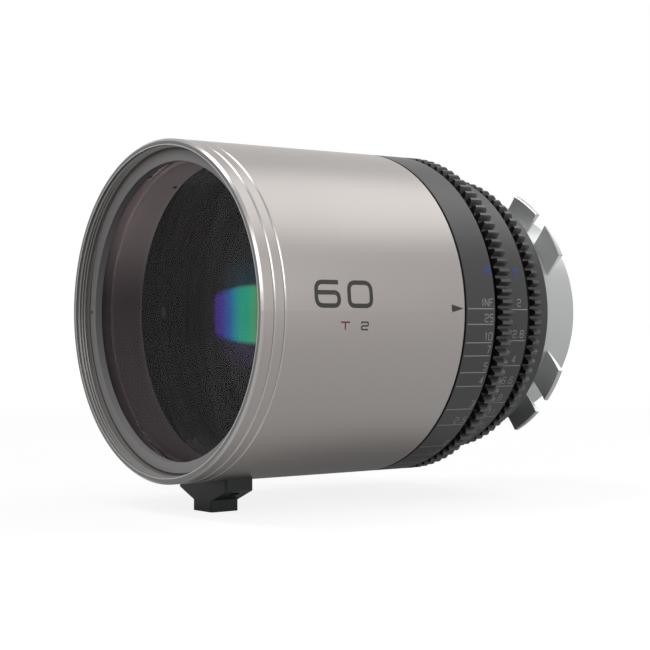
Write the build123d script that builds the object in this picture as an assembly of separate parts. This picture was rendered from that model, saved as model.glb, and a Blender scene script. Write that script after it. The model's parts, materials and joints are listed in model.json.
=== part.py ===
from build123d import *
import os
from math import acos, asin, ceil, copysign, cos, degrees, hypot, pi, radians, sin, sqrt, tan

# Cinema prime lens with an anamorphic front block, in millimetres and degrees.
# The optical axis is Y: the front glass faces -Y and the mount faces +Y. +Z is up.
# The origin is on the axis, in the plane of the mount's flange seat.
# A station is a distance behind the front rim. Angles turn about +Y by the right-hand rule,
# from +X, where the index mark is, so a positive angle goes down from +X towards -Z.

# Clearances and tools
running_clearance = 0.05
end_clearance = 0.10
overrun = 2.0

# Front ring and its accessory thread
thread_wall = 1.5
thread_depth = 3.6
front_ring_length = 5.95
ring_groove_floor = 0.1
ring_groove_depth = 0.55
ring_groove_station = 3.1
rim_chamfer = 0.55
skirt_thickness = 0.65
skirt_length = 3.3

# Barrel sleeve
sleeve_wall = 2.0
sleeve_lip_length = 2.3
sleeve_lip_clearance = 0.3

# Focus ring: scale band, gear and cam tube
ring_gap = 0.7
focus_band_length = 9.2
focus_gear_length = 6.6
gear_module = 0.8
gear_pressure_angle = 20.0
gear_root_factor = 1.25
gear_end_chamfer = 0.6
gear_relief = 2.7
gear_relief_depth = 0.8
hub_step = 0.7
ring_wall = 3.4
cam_tube_wall = 1.85
focus_throw = 120.0
focus_travel = 6.0
cam_slot_step = 10.0
key_radius = 0.8
key_length = 3.5
key_count = 3
stop_pin_radius = 1.0
stop_pin_inset = 4.3
stop_pin_angle = 200.0

# Iris ring: scale band and gear
band_gap = 0.5
iris_band_wall = 4.45
iris_band_length = 8.0
iris_groove_width = 0.7
iris_groove_depth = 1.6
iris_gear_length = 5.4
iris_gear_wall = 3.65
iris_gear_chamfer = 0.6
iris_throw = 69.0
iris_screw_radius = 0.7
iris_screw_length = 4.0
iris_screw_count = 3

# Rear ring and mount
rear_gap = 0.3
rear_ring_length = 5.8
rear_ring_wall = 2.6
rear_ring_end_wall = 1.0
rear_ring_straight = 4.0
shim_thickness = 0.3
neck_length = 4.2
neck_step = 0.5
lug_thickness = 1.4
lug_reach = 7.0
lug_width = 22.4
lug_notch_width = 4.3
lug_count = 4
lug_edge_chamfer = 0.25
lug_dish = 0.8
throat_clearance = 0.6
spigot_length = 8.2
spigot_wall = 1.6
spigot_chamfer = 0.5
mount_floor_thickness = 3.0
mount_screw_count = 4
screw_head_radius = 1.5
screw_head_height = 1.2
screw_shank_radius = 0.8
screw_length = 5.2
screw_slot_width = 0.4
screw_slot_depth = 0.5

# Fixed housing
housing_flange_length = 4.0
housing_bore = 32.0
housing_wall = 2.0
iris_zone_step = 0.5
iris_zone_wall = 2.0
iris_plate_seat = 0.5
rear_seat_step = 1.5
iris_seat_length = 7.0
web_thickness = 3.5
web_pocket_step = 3.5
web_pocket_depth = 3.4
web_ledge = 5.4

# Front cell and its glass
cell_wall = 1.5
glass_clearance = 0.1
front_seat_width = 3.4
retaining_ring_length = 1.8
retaining_ring_width = 2.4
retaining_ring_rim = 1.0
spanner_hole_radius = 0.5
spanner_hole_inset = 0.75
spanner_hole_depth = 1.0
spanner_hole_count = 2
front_element_length = 4.2
front_element_dish = 2.0
spacer_length = 8.0
spacer_wall = 0.95
spacer_hole_radius = 0.6
spacer_hole_angle = 240.0
spacer_hole_inset = 1.25
second_element_length = 7.5
second_element_crown = 5.0
front_cell_floor = 3.0
front_cell_screw_count = 4

# Anamorphic cell behind the front cell
inner_cell_wall = 3.5
inner_cell_length = 11.4
inner_cell_inset = 0.5
inner_seat_width = 2.5
inner_ring_inset = 1.4
inner_ring_length = 1.6
inner_element_length = 6.0
inner_element_crown = 4.0
grub_radius = 1.0
grub_length = 4.5
grub_count = 3

# Sliding focus cell
focus_cell_gap = 0.6
focus_cell_length = 24.0
focus_end_gap = 3.0
focus_cell_wall = 4.45
focus_seat_width = 2.0
focus_front_seat = 2.0
focus_front_edge = 3.0
focus_front_bulge = 5.0
focus_spacer_length = 7.5
focus_spacer_wall = 2.0
focus_rear_edge = 6.5
focus_rear_bulge = 1.5
focus_rear_hollow = 4.0
focus_ring_length = 2.0
follower_count = 3
follower_inset = 5.0
follower_radius = 2.0
follower_bore = 1.0
follower_seat_depth = 0.15
follower_head_radius = 1.7
follower_head_height = 0.9
follower_thread_depth = 3.0
follower_angle = 40.0

# Iris
blade_count = 10
blade_thickness = 0.2
blade_pitch = 0.3
blade_pivot_inset = 4.5
blade_reach = 10.0
blade_width = 6.0
blade_head_angle = 5.0
blade_tail_angle = 98.0
blade_drive_step = 2.0
blade_arm = 9.24
blade_boss_radius = 1.3
blade_pin_radius = 0.6
blade_pin_end_gap = 0.1
blade_ratio = 0.44
scroll_slot_step = 6.0
base_plate_thickness = 1.4
base_plate_lip = 0.4
blade_gap = 0.1
drive_ring_thickness = 2.5
drive_ring_gap = 0.2
drive_ring_inset = 4.2
cover_plate_thickness = 1.4
cover_plate_relief = 1.0
iris_ring_length = 1.5
iris_ring_width = 1.8
drive_pin_radius = 0.8
drive_pin_depth = 1.1
drive_pin_bite = 1.75
drive_pin_angle = 150.0

# Rear lens group
rear_cell_length = 14.0
rear_flange_thickness = 2.0
rear_cell_seat = 1.5
rear_cell_wall = 2.6
rear_cell_seat_width = 2.0
rear_front_edge = 3.0
rear_front_bulge = 1.0
rear_spacer_length = 3.5
rear_spacer_wall = 1.6
rear_rear_edge = 4.4
rear_rear_bulge = 2.5
rear_ring_nut_length = 1.6
rear_ring_nut_width = 1.4
rear_cell_screw_count = 3

# Support foot
foot_front = 11.8
foot_length = 7.8
foot_width = 20.0
foot_edge_drop = 1.6
foot_block_width = 8.0
foot_block_drop = 4.2
foot_bottom_drop = 7.0
foot_corner_radius = 0.8
foot_hole_radius = 2.0
foot_hole_depth = 5.0
foot_screw_offset = 7.0
foot_screw_length = 3.6
foot_socket_sides = 6

# Stations, each worked out from the lengths in front of it: the glass and the iris first
sleeve_front = front_ring_length + ring_groove_floor
cell_front = thread_depth
front_element_front = cell_front + retaining_ring_length
spacer_front = front_element_front + front_element_length
second_element_front = spacer_front + spacer_length
second_element_rear = second_element_front + second_element_length
housing_front = second_element_rear + front_cell_floor
housing_flange_rear = housing_front + housing_flange_length
grub_station = (housing_front + housing_flange_rear) / 2

inner_cell_front = housing_front + inner_cell_inset
inner_cell_rear = inner_cell_front + inner_cell_length
inner_ring_front = inner_cell_front + inner_ring_inset
inner_element_front = inner_ring_front + inner_ring_length
inner_element_rear = inner_element_front + inner_element_length

focus_cell_front = inner_cell_rear + focus_cell_gap + focus_travel
focus_cell_rear = focus_cell_front + focus_cell_length
focus_front_glass = focus_cell_front + focus_front_seat
focus_spacer_front = focus_front_glass + focus_front_edge
focus_rear_glass = focus_spacer_front + focus_spacer_length
focus_ring_front = focus_rear_glass + focus_rear_edge
follower_station = focus_cell_front + follower_inset
focus_bore_rear = focus_cell_rear + focus_end_gap

base_plate_front = focus_bore_rear + iris_seat_length
base_plate_rear = base_plate_front + base_plate_thickness
blades_front = base_plate_rear + blade_gap
blades_rear = blades_front + (blade_count - 1) * blade_pitch + blade_thickness
drive_ring_front = blades_rear + drive_ring_gap
drive_ring_rear = drive_ring_front + drive_ring_thickness
drive_pin_station = (drive_ring_front + drive_ring_rear) / 2
cover_front = drive_ring_rear + end_clearance
pocket_front = cover_front + cover_plate_thickness
web_front = pocket_front + web_pocket_depth
housing_rear = web_front + web_thickness

rear_cell_front = web_front - rear_flange_thickness
rear_cell_rear = rear_cell_front + rear_cell_length
rear_front_glass = rear_cell_front + rear_cell_seat
rear_spacer_front = rear_front_glass + rear_front_edge
rear_rear_glass = rear_spacer_front + rear_spacer_length
rear_nut_front = rear_rear_glass + rear_rear_edge

# The mount goes on behind, and the rings stand in front of it
mount_front = housing_rear + shim_thickness
lug_front = mount_front + neck_length
flange_station = lug_front + lug_thickness
spigot_end = flange_station + spigot_length
mount_screw_head_rear = mount_front + mount_floor_thickness
rear_ring_front = housing_rear - rear_ring_length
iris_gear_rear = rear_ring_front - rear_gap
iris_gear_front = iris_gear_rear - iris_gear_length
iris_groove_front = iris_gear_front - iris_groove_width
iris_band_front = iris_groove_front - iris_band_length
focus_gear_rear = iris_band_front - band_gap
focus_gear_front = focus_gear_rear - focus_gear_length
focus_band_front = focus_gear_front - focus_band_length
sleeve_rear = focus_band_front - ring_gap
stop_station = focus_gear_rear - stop_pin_inset

# Radii worked out from the housing's bore: outwards to the barrel
housing_radius = housing_bore + housing_wall
cam_bore = housing_radius + running_clearance
cam_radius = cam_bore + cam_tube_wall
hub_radius = cam_radius + hub_step
barrel_radius = hub_radius + ring_wall
thread_radius = barrel_radius - thread_wall
sleeve_bore = barrel_radius - sleeve_wall
cell_bore = sleeve_bore - cell_wall
glass_radius = cell_bore - glass_clearance
front_seat_radius = glass_radius - front_seat_width
front_cell_screw_circle = (front_seat_radius + cell_bore) / 2
follower_tip = cam_radius - end_clearance
roller_slot = follower_radius + running_clearance

# Inwards to the glass cells and the iris
inner_glass_radius = housing_bore - inner_cell_wall
inner_seat_radius = inner_glass_radius - inner_seat_width
focus_cell_radius = housing_bore - running_clearance
focus_glass_radius = focus_cell_radius - focus_cell_wall
focus_seat_radius = focus_glass_radius - focus_seat_width
iris_zone_radius = housing_bore - iris_zone_step
iris_bore = iris_zone_radius - iris_zone_wall
iris_plate_bore = iris_bore + iris_plate_seat
drive_ring_radius = iris_bore - 2 * running_clearance
blade_pivot_circle = iris_bore - blade_pivot_inset
blade_drive_circle = blade_pivot_circle + blade_drive_step
blade_drive_angle = degrees(acos(
    (blade_pivot_circle ** 2 + blade_drive_circle ** 2 - blade_arm ** 2)
    / (2 * blade_pivot_circle * blade_drive_circle)
))
blade_open_radius = blade_pivot_circle - blade_reach
base_plate_bore = blade_open_radius - base_plate_lip
drive_ring_bore = blade_pivot_circle - drive_ring_inset
cover_plate_bore = blade_open_radius + cover_plate_relief
iris_closing = blade_ratio * iris_throw

# The iris ring, the rear ring, the rear cell and the mount
iris_ring_bore = iris_zone_radius + running_clearance
iris_band_radius = iris_ring_bore + iris_band_wall
iris_gear_radius = iris_ring_bore + iris_gear_wall
rear_seat_radius = iris_zone_radius - rear_seat_step
rear_ring_radius = rear_seat_radius + rear_ring_wall
rear_ring_end_radius = rear_seat_radius + rear_ring_end_wall
web_pocket_radius = iris_bore - web_pocket_step
rear_bore = web_pocket_radius - web_ledge
rear_glass_radius = rear_bore - rear_cell_wall
rear_cell_seat_radius = rear_glass_radius - rear_cell_seat_width
mount_screw_circle = (rear_bore + web_pocket_radius) / 2
throat_radius = mount_screw_circle + screw_head_radius + throat_clearance
spigot_radius = throat_radius + spigot_wall
neck_radius = spigot_radius + neck_step
lug_radius = spigot_radius + lug_reach


# General shapes

def at(station):
    """Y of a station, which is a distance behind the front rim."""
    return station - flange_station


def section(station):
    """A plane across the axis that faces the mount, with +X along its own X."""
    return Plane(origin=(0, at(station), 0), x_dir=(1, 0, 0), z_dir=(0, 1, 0))


def polar(radius, angle):
    """A point of a section plane."""
    return (radius * cos(radians(angle)), radius * sin(radians(angle)))


def radial(angle, station, radius=0):
    """A plane that faces away from the axis at this angle, with its own X along the axis."""
    across, drop = polar(1, angle)
    start = (radius * across, at(station), -radius * drop)
    return Plane(origin=start, x_dir=(0, 1, 0), z_dir=(across, 0, -drop))


def turned(*corners):
    """Solid turned about the axis from (radius, station) corners."""
    points = [(radius, at(station)) for radius, station in corners]
    return revolve(make_face(Polyline(*points, close=True)), Axis.Y)


def tube(inner, outer, front, rear):
    """A plain ring between two stations."""
    return turned((inner, front), (outer, front), (outer, rear), (inner, rear))


def rod(radius, angle, station, start, end):
    """A radial pin from one distance off the axis to another."""
    return extrude(radial(angle, station, start) * Circle(radius), end - start)


def bar(radius, circle, angle, front, rear):
    """A pin that lies along the axis."""
    return extrude(section(front) * Pos(*polar(circle, angle)) * Circle(radius), rear - front)


def around(count, start=0):
    """Angles of a pattern of so many, evenly spread."""
    return [start + 360 / count * index for index in range(count)]


def group(shapes):
    """Separate like solids, kept together as one piece of the list."""
    return Compound(children=[solid for shape in shapes for solid in shape.solids()])


def lens_face(clear, rim, bulge):
    """Profile of one face from the axis to its clear radius: bulge moves its crown along Y."""
    crown = at(rim + bulge)
    if bulge == 0:
        return Line((0, crown), (clear, crown))
    ball = (clear ** 2 + bulge ** 2) / (2 * abs(bulge))
    drop = ball - sqrt(ball ** 2 - (clear / 2) ** 2)
    middle = crown - drop if bulge > 0 else crown + drop
    return ThreePointArc((0, crown), (clear / 2, middle), (clear, at(rim)))


def round_lens(radius, clear, front, rear, front_bulge, rear_bulge):
    """A turned lens with a flat seat round each face, outside its clear radius."""
    edges = [
        lens_face(clear, front, front_bulge),
        Polyline((clear, at(front)), (radius, at(front)), (radius, at(rear)), (clear, at(rear))),
        lens_face(clear, rear, rear_bulge),
        Line((0, at(rear + rear_bulge)), (0, at(front + front_bulge))),
    ]
    return revolve(make_face(edges), Axis.Y)


def cylinder_lens(radius, crown, rear, depth):
    """A round lens with a flat rear face and an upright cylinder as its front face.

    A positive depth sets the two sides back behind the crown, a negative one leads them.
    """
    curve = (radius ** 2 + depth ** 2) / (2 * depth)
    half = radius + overrun
    side = crown + curve - copysign(sqrt(curve ** 2 - half ** 2), curve)
    outline = [
        ThreePointArc((-half, at(side)), (0, at(crown)), (half, at(side))),
        Polyline((half, at(side)), (half, at(rear)), (-half, at(rear)), (-half, at(side))),
    ]
    slab = extrude(make_face(outline), half, both=True)
    return slab & tube(0, radius, min(crown, side) - overrun, rear + overrun)


def spanner_ring(inner, outer, front, rear):
    """A threaded ring with two blind spanner holes near the rim of its front face."""
    ring = tube(inner, outer, front, rear)
    circle = max((inner + outer) / 2, outer - spanner_hole_inset)
    for angle in around(spanner_hole_count):
        ring -= bar(spanner_hole_radius, circle, angle, front - overrun, front + spanner_hole_depth)
    return ring


def involute_half_angle(radius, pitch_radius, teeth):
    """Half the angle that a gear tooth fills at this radius."""
    def involute(angle):
        return tan(angle) - angle
    pressure = radians(gear_pressure_angle)
    local = acos(pitch_radius * cos(pressure) / radius)
    return degrees(pi / (2 * teeth) + involute(pressure) - involute(local))


def gear_teeth(tip_radius):
    """Number of teeth of a ring gear with this tip radius."""
    return round(2 * tip_radius / gear_module) - 2


def gear_root(tip_radius):
    """Root radius of a ring gear with this tip radius."""
    return tip_radius - gear_module * (1 + gear_root_factor)


def gear_ring(tip_radius, bore, front, rear, chamfer, relief_floor):
    """A ring gear with involute flanks, relieved before its teeth and chamfered behind them."""
    teeth = gear_teeth(tip_radius)
    pitch_radius = tip_radius - gear_module
    root = gear_root(tip_radius)
    middle = (tip_radius + root) / 2
    spread = [(r, involute_half_angle(r, pitch_radius, teeth)) for r in (root, middle, tip_radius)]
    edges = []
    for centre in around(teeth):
        rise = [polar(r, centre - half) for r, half in spread]
        fall = [polar(r, centre + half) for r, half in reversed(spread)]
        following = polar(root, centre + 360 / teeth - spread[0][1])
        edges += [ThreePointArc(*rise), Line(rise[-1], fall[0]), ThreePointArc(*fall)]
        edges.append(Line(fall[-1], following))
    blank = extrude(section(front) * (make_face(edges) - Circle(bore)), rear - front)
    teeth_front = front + gear_relief
    envelope = turned(
        (0, front), (relief_floor, front), (relief_floor, teeth_front),
        (tip_radius + overrun, teeth_front), (tip_radius + overrun, rear - chamfer - overrun),
        (tip_radius - chamfer, rear), (0, rear),
    )
    return blank & envelope


def slotted_screw(circle, angle, head_front, length, towards_mount=True):
    """A cheese-head screw along the axis, with its slot, whose head starts at head_front."""
    way = 1 if towards_mount else -1
    neck = head_front + way * screw_head_height
    end = head_front + way * length
    head = bar(screw_head_radius, circle, angle, min(head_front, neck), max(head_front, neck))
    shank = bar(screw_shank_radius, circle, angle, min(neck, end), max(neck, end))
    slot = extrude(
        section(head_front) * Pos(*polar(circle, angle)) * Rot(0, 0, angle)
        * Rectangle(2 * screw_head_radius + overrun, screw_slot_width),
        screw_slot_depth, both=True,
    )
    return head + shank - slot


def screw_room(circle, angle, seat, end, mouth):
    """The hole for such a screw: its head stands between seat and mouth."""
    head = bar(screw_head_radius, circle, angle, min(seat, mouth), max(seat, mouth))
    return head + bar(screw_shank_radius, circle, angle, min(seat, end), max(seat, end))


# Front block

def front_ring():
    """Front rim with the accessory thread, a V groove and a skirt inside the sleeve."""
    groove_bottom = barrel_radius - ring_groove_depth
    flank_front = ring_groove_station + ring_groove_floor
    skirt = sleeve_bore + skirt_thickness
    skirt_rear = sleeve_front + skirt_length
    body = turned(
        (thread_radius, 0), (barrel_radius - rim_chamfer, 0), (barrel_radius, rim_chamfer),
        (barrel_radius, ring_groove_station), (groove_bottom, ring_groove_station),
        (groove_bottom, flank_front), (barrel_radius, flank_front + ring_groove_depth),
        (barrel_radius, front_ring_length), (groove_bottom, front_ring_length),
        (groove_bottom, sleeve_front), (skirt, sleeve_front), (skirt, skirt_rear),
        (sleeve_bore, skirt_rear), (sleeve_bore, thread_depth), (thread_radius, thread_depth),
    )
    return body


def front_cell():
    """Tube that carries the two front glasses and is screwed to the housing."""
    rear = housing_front
    ring_bore = cell_bore + retaining_ring_rim
    cell = turned(
        (ring_bore, cell_front), (sleeve_bore, cell_front), (sleeve_bore, rear),
        (front_seat_radius, rear), (front_seat_radius, second_element_rear),
        (cell_bore, second_element_rear), (cell_bore, front_element_front),
        (ring_bore, front_element_front),
    )
    for angle in around(front_cell_screw_count):
        seat = second_element_rear + screw_head_height
        cell -= screw_room(
            front_cell_screw_circle, angle, seat, rear + overrun, second_element_rear - overrun
        )
    return cell


def front_cell_screws():
    """Screws from the front cell's floor into the housing, under the second glass."""
    return group(
        slotted_screw(front_cell_screw_circle, angle, second_element_rear, screw_length)
        for angle in around(front_cell_screw_count)
    )


def front_retaining_ring():
    """Ring with spanner holes that keeps the front glass in."""
    outer = cell_bore + retaining_ring_rim
    return spanner_ring(cell_bore - retaining_ring_width + retaining_ring_rim, outer,
                        cell_front, front_element_front)


def front_cylinder_element():
    """First glass: hollow upright cylinder in front, flat behind."""
    crown = front_element_front + front_element_dish
    return cylinder_lens(glass_radius, crown, spacer_front, -front_element_dish)


def front_spacer():
    """Tube between the two front glasses, with one small hole."""
    spacer = tube(glass_radius - spacer_wall, glass_radius, spacer_front, second_element_front)
    hole_station = second_element_front - spacer_hole_inset
    hole = rod(spacer_hole_radius, spacer_hole_angle, hole_station,
               glass_radius - spacer_wall - overrun, glass_radius + overrun)
    return spacer - hole


def second_cylinder_element():
    """Second glass: crowned upright cylinder in front, flat behind."""
    return cylinder_lens(
        glass_radius, second_element_front, second_element_rear, second_element_crown
    )


def barrel_sleeve():
    """Long outer sleeve round the housing flange, tapped for the foot screws."""
    groove_bottom = barrel_radius - ring_groove_depth
    skirt = sleeve_bore + skirt_thickness
    skirt_rear = sleeve_front + skirt_length
    lip = cam_radius + sleeve_lip_clearance
    lip_front = sleeve_rear - sleeve_lip_length
    sleeve = turned(
        (skirt, sleeve_front), (groove_bottom, sleeve_front),
        (barrel_radius, sleeve_front + ring_groove_depth), (barrel_radius, sleeve_rear),
        (lip, sleeve_rear), (lip, lip_front), (sleeve_bore, lip_front),
        (sleeve_bore, skirt_rear), (skirt, skirt_rear),
    )
    for side in (-1, 1):
        sleeve -= extrude(foot_screw_plane(side) * Circle(screw_shank_radius), foot_screw_length)
    return sleeve


# Fixed housing

def arc_slot(station, half_width, inner, outer, first, last):
    """Ring-shaped tool along part of a turn, from one angle to another."""
    front, rear = at(station - half_width), at(station + half_width)
    face = make_face(Polyline((inner, front), (outer, front), (outer, rear), (inner, rear), close=True))
    return Rot(0, first, 0) * revolve(face, Axis.Y, revolution_arc=last - first)


def guide_slot(angle):
    """Tool for the straight slot in which one follower slides."""
    length = focus_travel + 2 * roller_slot
    middle = follower_station - focus_travel / 2
    plane = radial(angle, middle, housing_bore - overrun)
    return extrude(plane * SlotOverall(length, 2 * roller_slot), housing_wall + 2 * overrun)


def pin_reach(pin_radius, inner):
    """Angle that a round radial pin with its clearance fills at this radius."""
    return degrees(asin((pin_radius + running_clearance) / inner))


def main_housing():
    """Inner tube that carries the glass cells, the rings and the mount."""
    housing = turned(
        (housing_bore, housing_front), (sleeve_bore, housing_front),
        (sleeve_bore, housing_flange_rear), (housing_radius, housing_flange_rear),
        (housing_radius, focus_gear_rear), (iris_zone_radius, focus_gear_rear),
        (iris_zone_radius, rear_ring_front), (rear_seat_radius, rear_ring_front),
        (rear_seat_radius, housing_rear), (rear_bore, housing_rear),
        (rear_bore, web_front), (web_pocket_radius, web_front),
        (web_pocket_radius, pocket_front), (iris_bore, pocket_front),
        (iris_bore, base_plate_rear), (iris_plate_bore, base_plate_rear),
        (iris_plate_bore, focus_bore_rear), (housing_bore, focus_bore_rear),
    )
    for angle in around(follower_count, follower_angle):
        housing -= guide_slot(angle)
    reach = pin_reach(drive_pin_radius, iris_bore)
    housing -= arc_slot(
        drive_pin_station, drive_pin_radius + running_clearance, iris_bore - overrun,
        iris_zone_radius + overrun, drive_pin_angle - iris_throw - reach, drive_pin_angle + reach,
    )
    housing -= rod(stop_pin_radius, stop_pin_angle, stop_station, housing_bore - overrun,
                   housing_radius + overrun)
    for angle in around(grub_count, follower_angle):
        housing -= rod(grub_radius, angle, grub_station, housing_bore - overrun,
                       sleeve_bore + overrun)
    for angle in around(front_cell_screw_count):
        housing -= bar(screw_shank_radius, front_cell_screw_circle, angle,
                       housing_front - overrun, second_element_rear + screw_length)
    for angle in around(rear_cell_screw_count):
        housing -= bar(screw_shank_radius, mount_screw_circle, angle, web_front - overrun,
                       rear_cell_front + screw_length)
    for angle in around(mount_screw_count, 180 / mount_screw_count):
        housing -= bar(screw_shank_radius, mount_screw_circle, angle,
                       mount_screw_head_rear - screw_length, housing_rear + overrun)
    return housing


def anamorphic_cell():
    """Cell of the inner cylinder glass, held in the housing by grub screws."""
    cell = turned(
        (inner_glass_radius, inner_cell_front), (housing_bore, inner_cell_front),
        (housing_bore, inner_cell_rear), (inner_seat_radius, inner_cell_rear),
        (inner_seat_radius, inner_element_rear), (inner_glass_radius, inner_element_rear),
    )
    return cell


def third_cylinder_element():
    """Inner cylinder glass."""
    return cylinder_lens(
        inner_glass_radius, inner_element_front, inner_element_rear, inner_element_crown
    )


def anamorphic_retaining_ring():
    """Ring that keeps the inner cylinder glass in its cell."""
    return spanner_ring(inner_seat_radius, inner_glass_radius, inner_ring_front, inner_element_front)


def alignment_screws():
    """Grub screws in the housing flange that hold the anamorphic cell at its angle."""
    return group(
        rod(grub_radius, angle, grub_station, housing_bore, housing_bore + grub_length)
        for angle in around(grub_count, follower_angle)
    )


# Focus ring

def key_angles():
    """Angles of the keys that lock the focus rings to the cam tube."""
    return around(key_count, follower_angle)


def key_bars():
    """The keys, half in the hub and half in the ring round it."""
    bars = []
    for angle in key_angles():
        bars.append(bar(key_radius, hub_radius, angle, focus_band_front, focus_band_front + key_length))
        bars.append(bar(key_radius, hub_radius, angle, focus_gear_rear - key_length, focus_gear_rear))
    return bars


def cam_slot():
    """Tools for the first helical cam slot: its run, and its far-focus and near ends."""
    middle = (cam_bore + cam_radius) / 2
    depth = cam_tube_wall / 2 + overrun
    ahead = radians(focus_throw) * middle
    steps = ceil(focus_throw / cam_slot_step)
    sections = []
    for step in range(steps + 1):
        share = step / steps
        turn = follower_angle + focus_throw * share
        out = radial(turn, follower_station - focus_travel * share, middle)
        along = (-sin(radians(turn)) * ahead, -focus_travel, -cos(radians(turn)) * ahead)
        across = Plane(origin=out.origin, x_dir=out.z_dir, z_dir=along)
        sections.append(across * Rectangle(2 * depth, 2 * roller_slot))
    tools = [loft([rectangle.face() for rectangle in sections])]
    for share in (0, 1):
        tools.append(rod(roller_slot, follower_angle + focus_throw * share,
                         follower_station - focus_travel * share, middle - depth, middle + depth))
    return tools


def cam_tube():
    """Tube turned by the focus ring: three helical slots drive the sliding cell."""
    front = housing_flange_rear + end_clearance
    cam = turned(
        (cam_bore, front), (cam_radius, front), (cam_radius, focus_band_front),
        (hub_radius, focus_band_front), (hub_radius, focus_gear_rear), (cam_bore, focus_gear_rear),
    )
    tools = cam_slot()
    for angle in around(follower_count):
        for tool in tools:
            cam -= Rot(0, angle, 0) * tool
    reach = pin_reach(stop_pin_radius, cam_bore)
    cam -= arc_slot(stop_station, stop_pin_radius + running_clearance, cam_bore - overrun,
                    hub_radius + overrun, stop_pin_angle - reach,
                    stop_pin_angle + focus_throw + reach)
    for key in key_bars():
        cam -= key
    return cam


def focus_scale_ring():
    """Band that carries the distance scale."""
    ring = tube(hub_radius, barrel_radius, focus_band_front, focus_gear_front)
    for key in key_bars():
        ring -= key
    return ring


def focus_gear_ring():
    """Ring gear by which a motor or a follow focus turns the ring."""
    floor = gear_root(barrel_radius) - gear_relief_depth
    ring = gear_ring(barrel_radius, hub_radius, focus_gear_front, focus_gear_rear,
                     gear_end_chamfer, floor)
    for key in key_bars():
        ring -= key
    return ring


def focus_ring_keys():
    """Keys that lock the scale ring and the gear ring to the cam tube."""
    return group(key_bars())


def focus_stop_pin():
    """Pin in the housing that ends the turn of the focus ring."""
    return rod(stop_pin_radius, stop_pin_angle, stop_station, housing_bore, hub_radius - end_clearance)


# Sliding focus cell

def focus_cell():
    """Barrel that slides in the housing and carries the focusing glass."""
    cell = turned(
        (focus_seat_radius, focus_cell_front), (focus_cell_radius, focus_cell_front),
        (focus_cell_radius, focus_cell_rear), (focus_glass_radius, focus_cell_rear),
        (focus_glass_radius, focus_front_glass), (focus_seat_radius, focus_front_glass),
    )
    for angle in around(follower_count, follower_angle):
        seat = focus_cell_radius - follower_seat_depth
        cell -= rod(roller_slot, angle, follower_station, seat, focus_cell_radius + overrun)
        cell -= rod(follower_bore, angle, follower_station, seat - follower_thread_depth, seat + overrun)
    return cell


def focus_element_front():
    """First round glass of the sliding cell."""
    return round_lens(focus_glass_radius, focus_seat_radius, focus_front_glass,
                      focus_spacer_front, 0, focus_front_bulge)


def focus_spacer():
    """Ring between the two glasses of the sliding cell."""
    return tube(focus_glass_radius - focus_spacer_wall, focus_glass_radius,
                focus_spacer_front, focus_rear_glass)


def focus_element_rear():
    """Second round glass of the sliding cell."""
    return round_lens(focus_glass_radius, focus_seat_radius, focus_rear_glass,
                      focus_ring_front, -focus_rear_bulge, -focus_rear_hollow)


def focus_retaining_ring():
    """Ring that keeps the glass of the sliding cell in."""
    return spanner_ring(focus_seat_radius, focus_glass_radius, focus_ring_front,
                        focus_ring_front + focus_ring_length)


def follower_rollers():
    """Rollers that run in the cam slots and the guide slots."""
    seat = focus_cell_radius - follower_seat_depth
    rollers = []
    for angle in around(follower_count, follower_angle):
        roller = rod(follower_radius, angle, follower_station, seat, follower_tip)
        rollers.append(roller - rod(follower_bore, angle, follower_station, seat - overrun,
                                    follower_tip + overrun))
    return group(rollers)


def follower_screws():
    """Shoulder screws that hold the rollers to the sliding cell."""
    seat = focus_cell_radius - follower_seat_depth
    screws = []
    for angle in around(follower_count, follower_angle):
        shank = rod(follower_bore, angle, follower_station, seat - follower_thread_depth, follower_tip)
        head = rod(follower_head_radius, angle, follower_station, follower_tip,
                   follower_tip + follower_head_height)
        screws.append(shank + head)
    return group(screws)


# Iris ring

def iris_screw_bars():
    """Screws along the axis that join the iris scale ring and its gear."""
    circle = (iris_ring_bore + gear_root(iris_gear_radius)) / 2
    return [
        bar(iris_screw_radius, circle, angle, iris_gear_front - iris_screw_length / 2,
            iris_gear_front + iris_screw_length / 2)
        for angle in around(iris_screw_count, drive_pin_angle + 180 / iris_screw_count)
    ]


def iris_scale_ring():
    """Band that carries the stop scale, with a groove before its gear."""
    groove_bottom = iris_band_radius - iris_groove_depth
    ring = turned(
        (iris_ring_bore, iris_band_front), (iris_band_radius, iris_band_front),
        (iris_band_radius, iris_groove_front), (groove_bottom, iris_groove_front),
        (groove_bottom, iris_gear_front), (iris_ring_bore, iris_gear_front),
    )
    for screw in iris_screw_bars():
        ring -= screw
    return ring


def iris_gear_ring():
    """Ring gear by which a motor or a hand turns the iris ring."""
    ring = gear_ring(iris_gear_radius, iris_ring_bore, iris_gear_front, iris_gear_rear,
                     iris_gear_chamfer, gear_root(iris_gear_radius))
    for screw in iris_screw_bars():
        ring -= screw
    return ring - rod(drive_pin_radius, drive_pin_angle, drive_pin_station,
                      iris_ring_bore - overrun, iris_ring_bore + drive_pin_bite)


def iris_ring_screws():
    """Headless screws between the iris scale ring and its gear."""
    return group(iris_screw_bars())


def iris_drive_pin():
    """Pin through the housing slot that takes the turn of the ring to the blades."""
    return rod(drive_pin_radius, drive_pin_angle, drive_pin_station,
               drive_ring_radius - drive_pin_depth, iris_ring_bore + drive_pin_bite)


# Iris

def turn_about(point, centre, angle):
    """A point of a section plane turned about another one."""
    across, down = point[0] - centre[0], point[1] - centre[1]
    c, s = cos(radians(angle)), sin(radians(angle))
    return (centre[0] + c * across - s * down, centre[1] + s * across + c * down)


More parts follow.
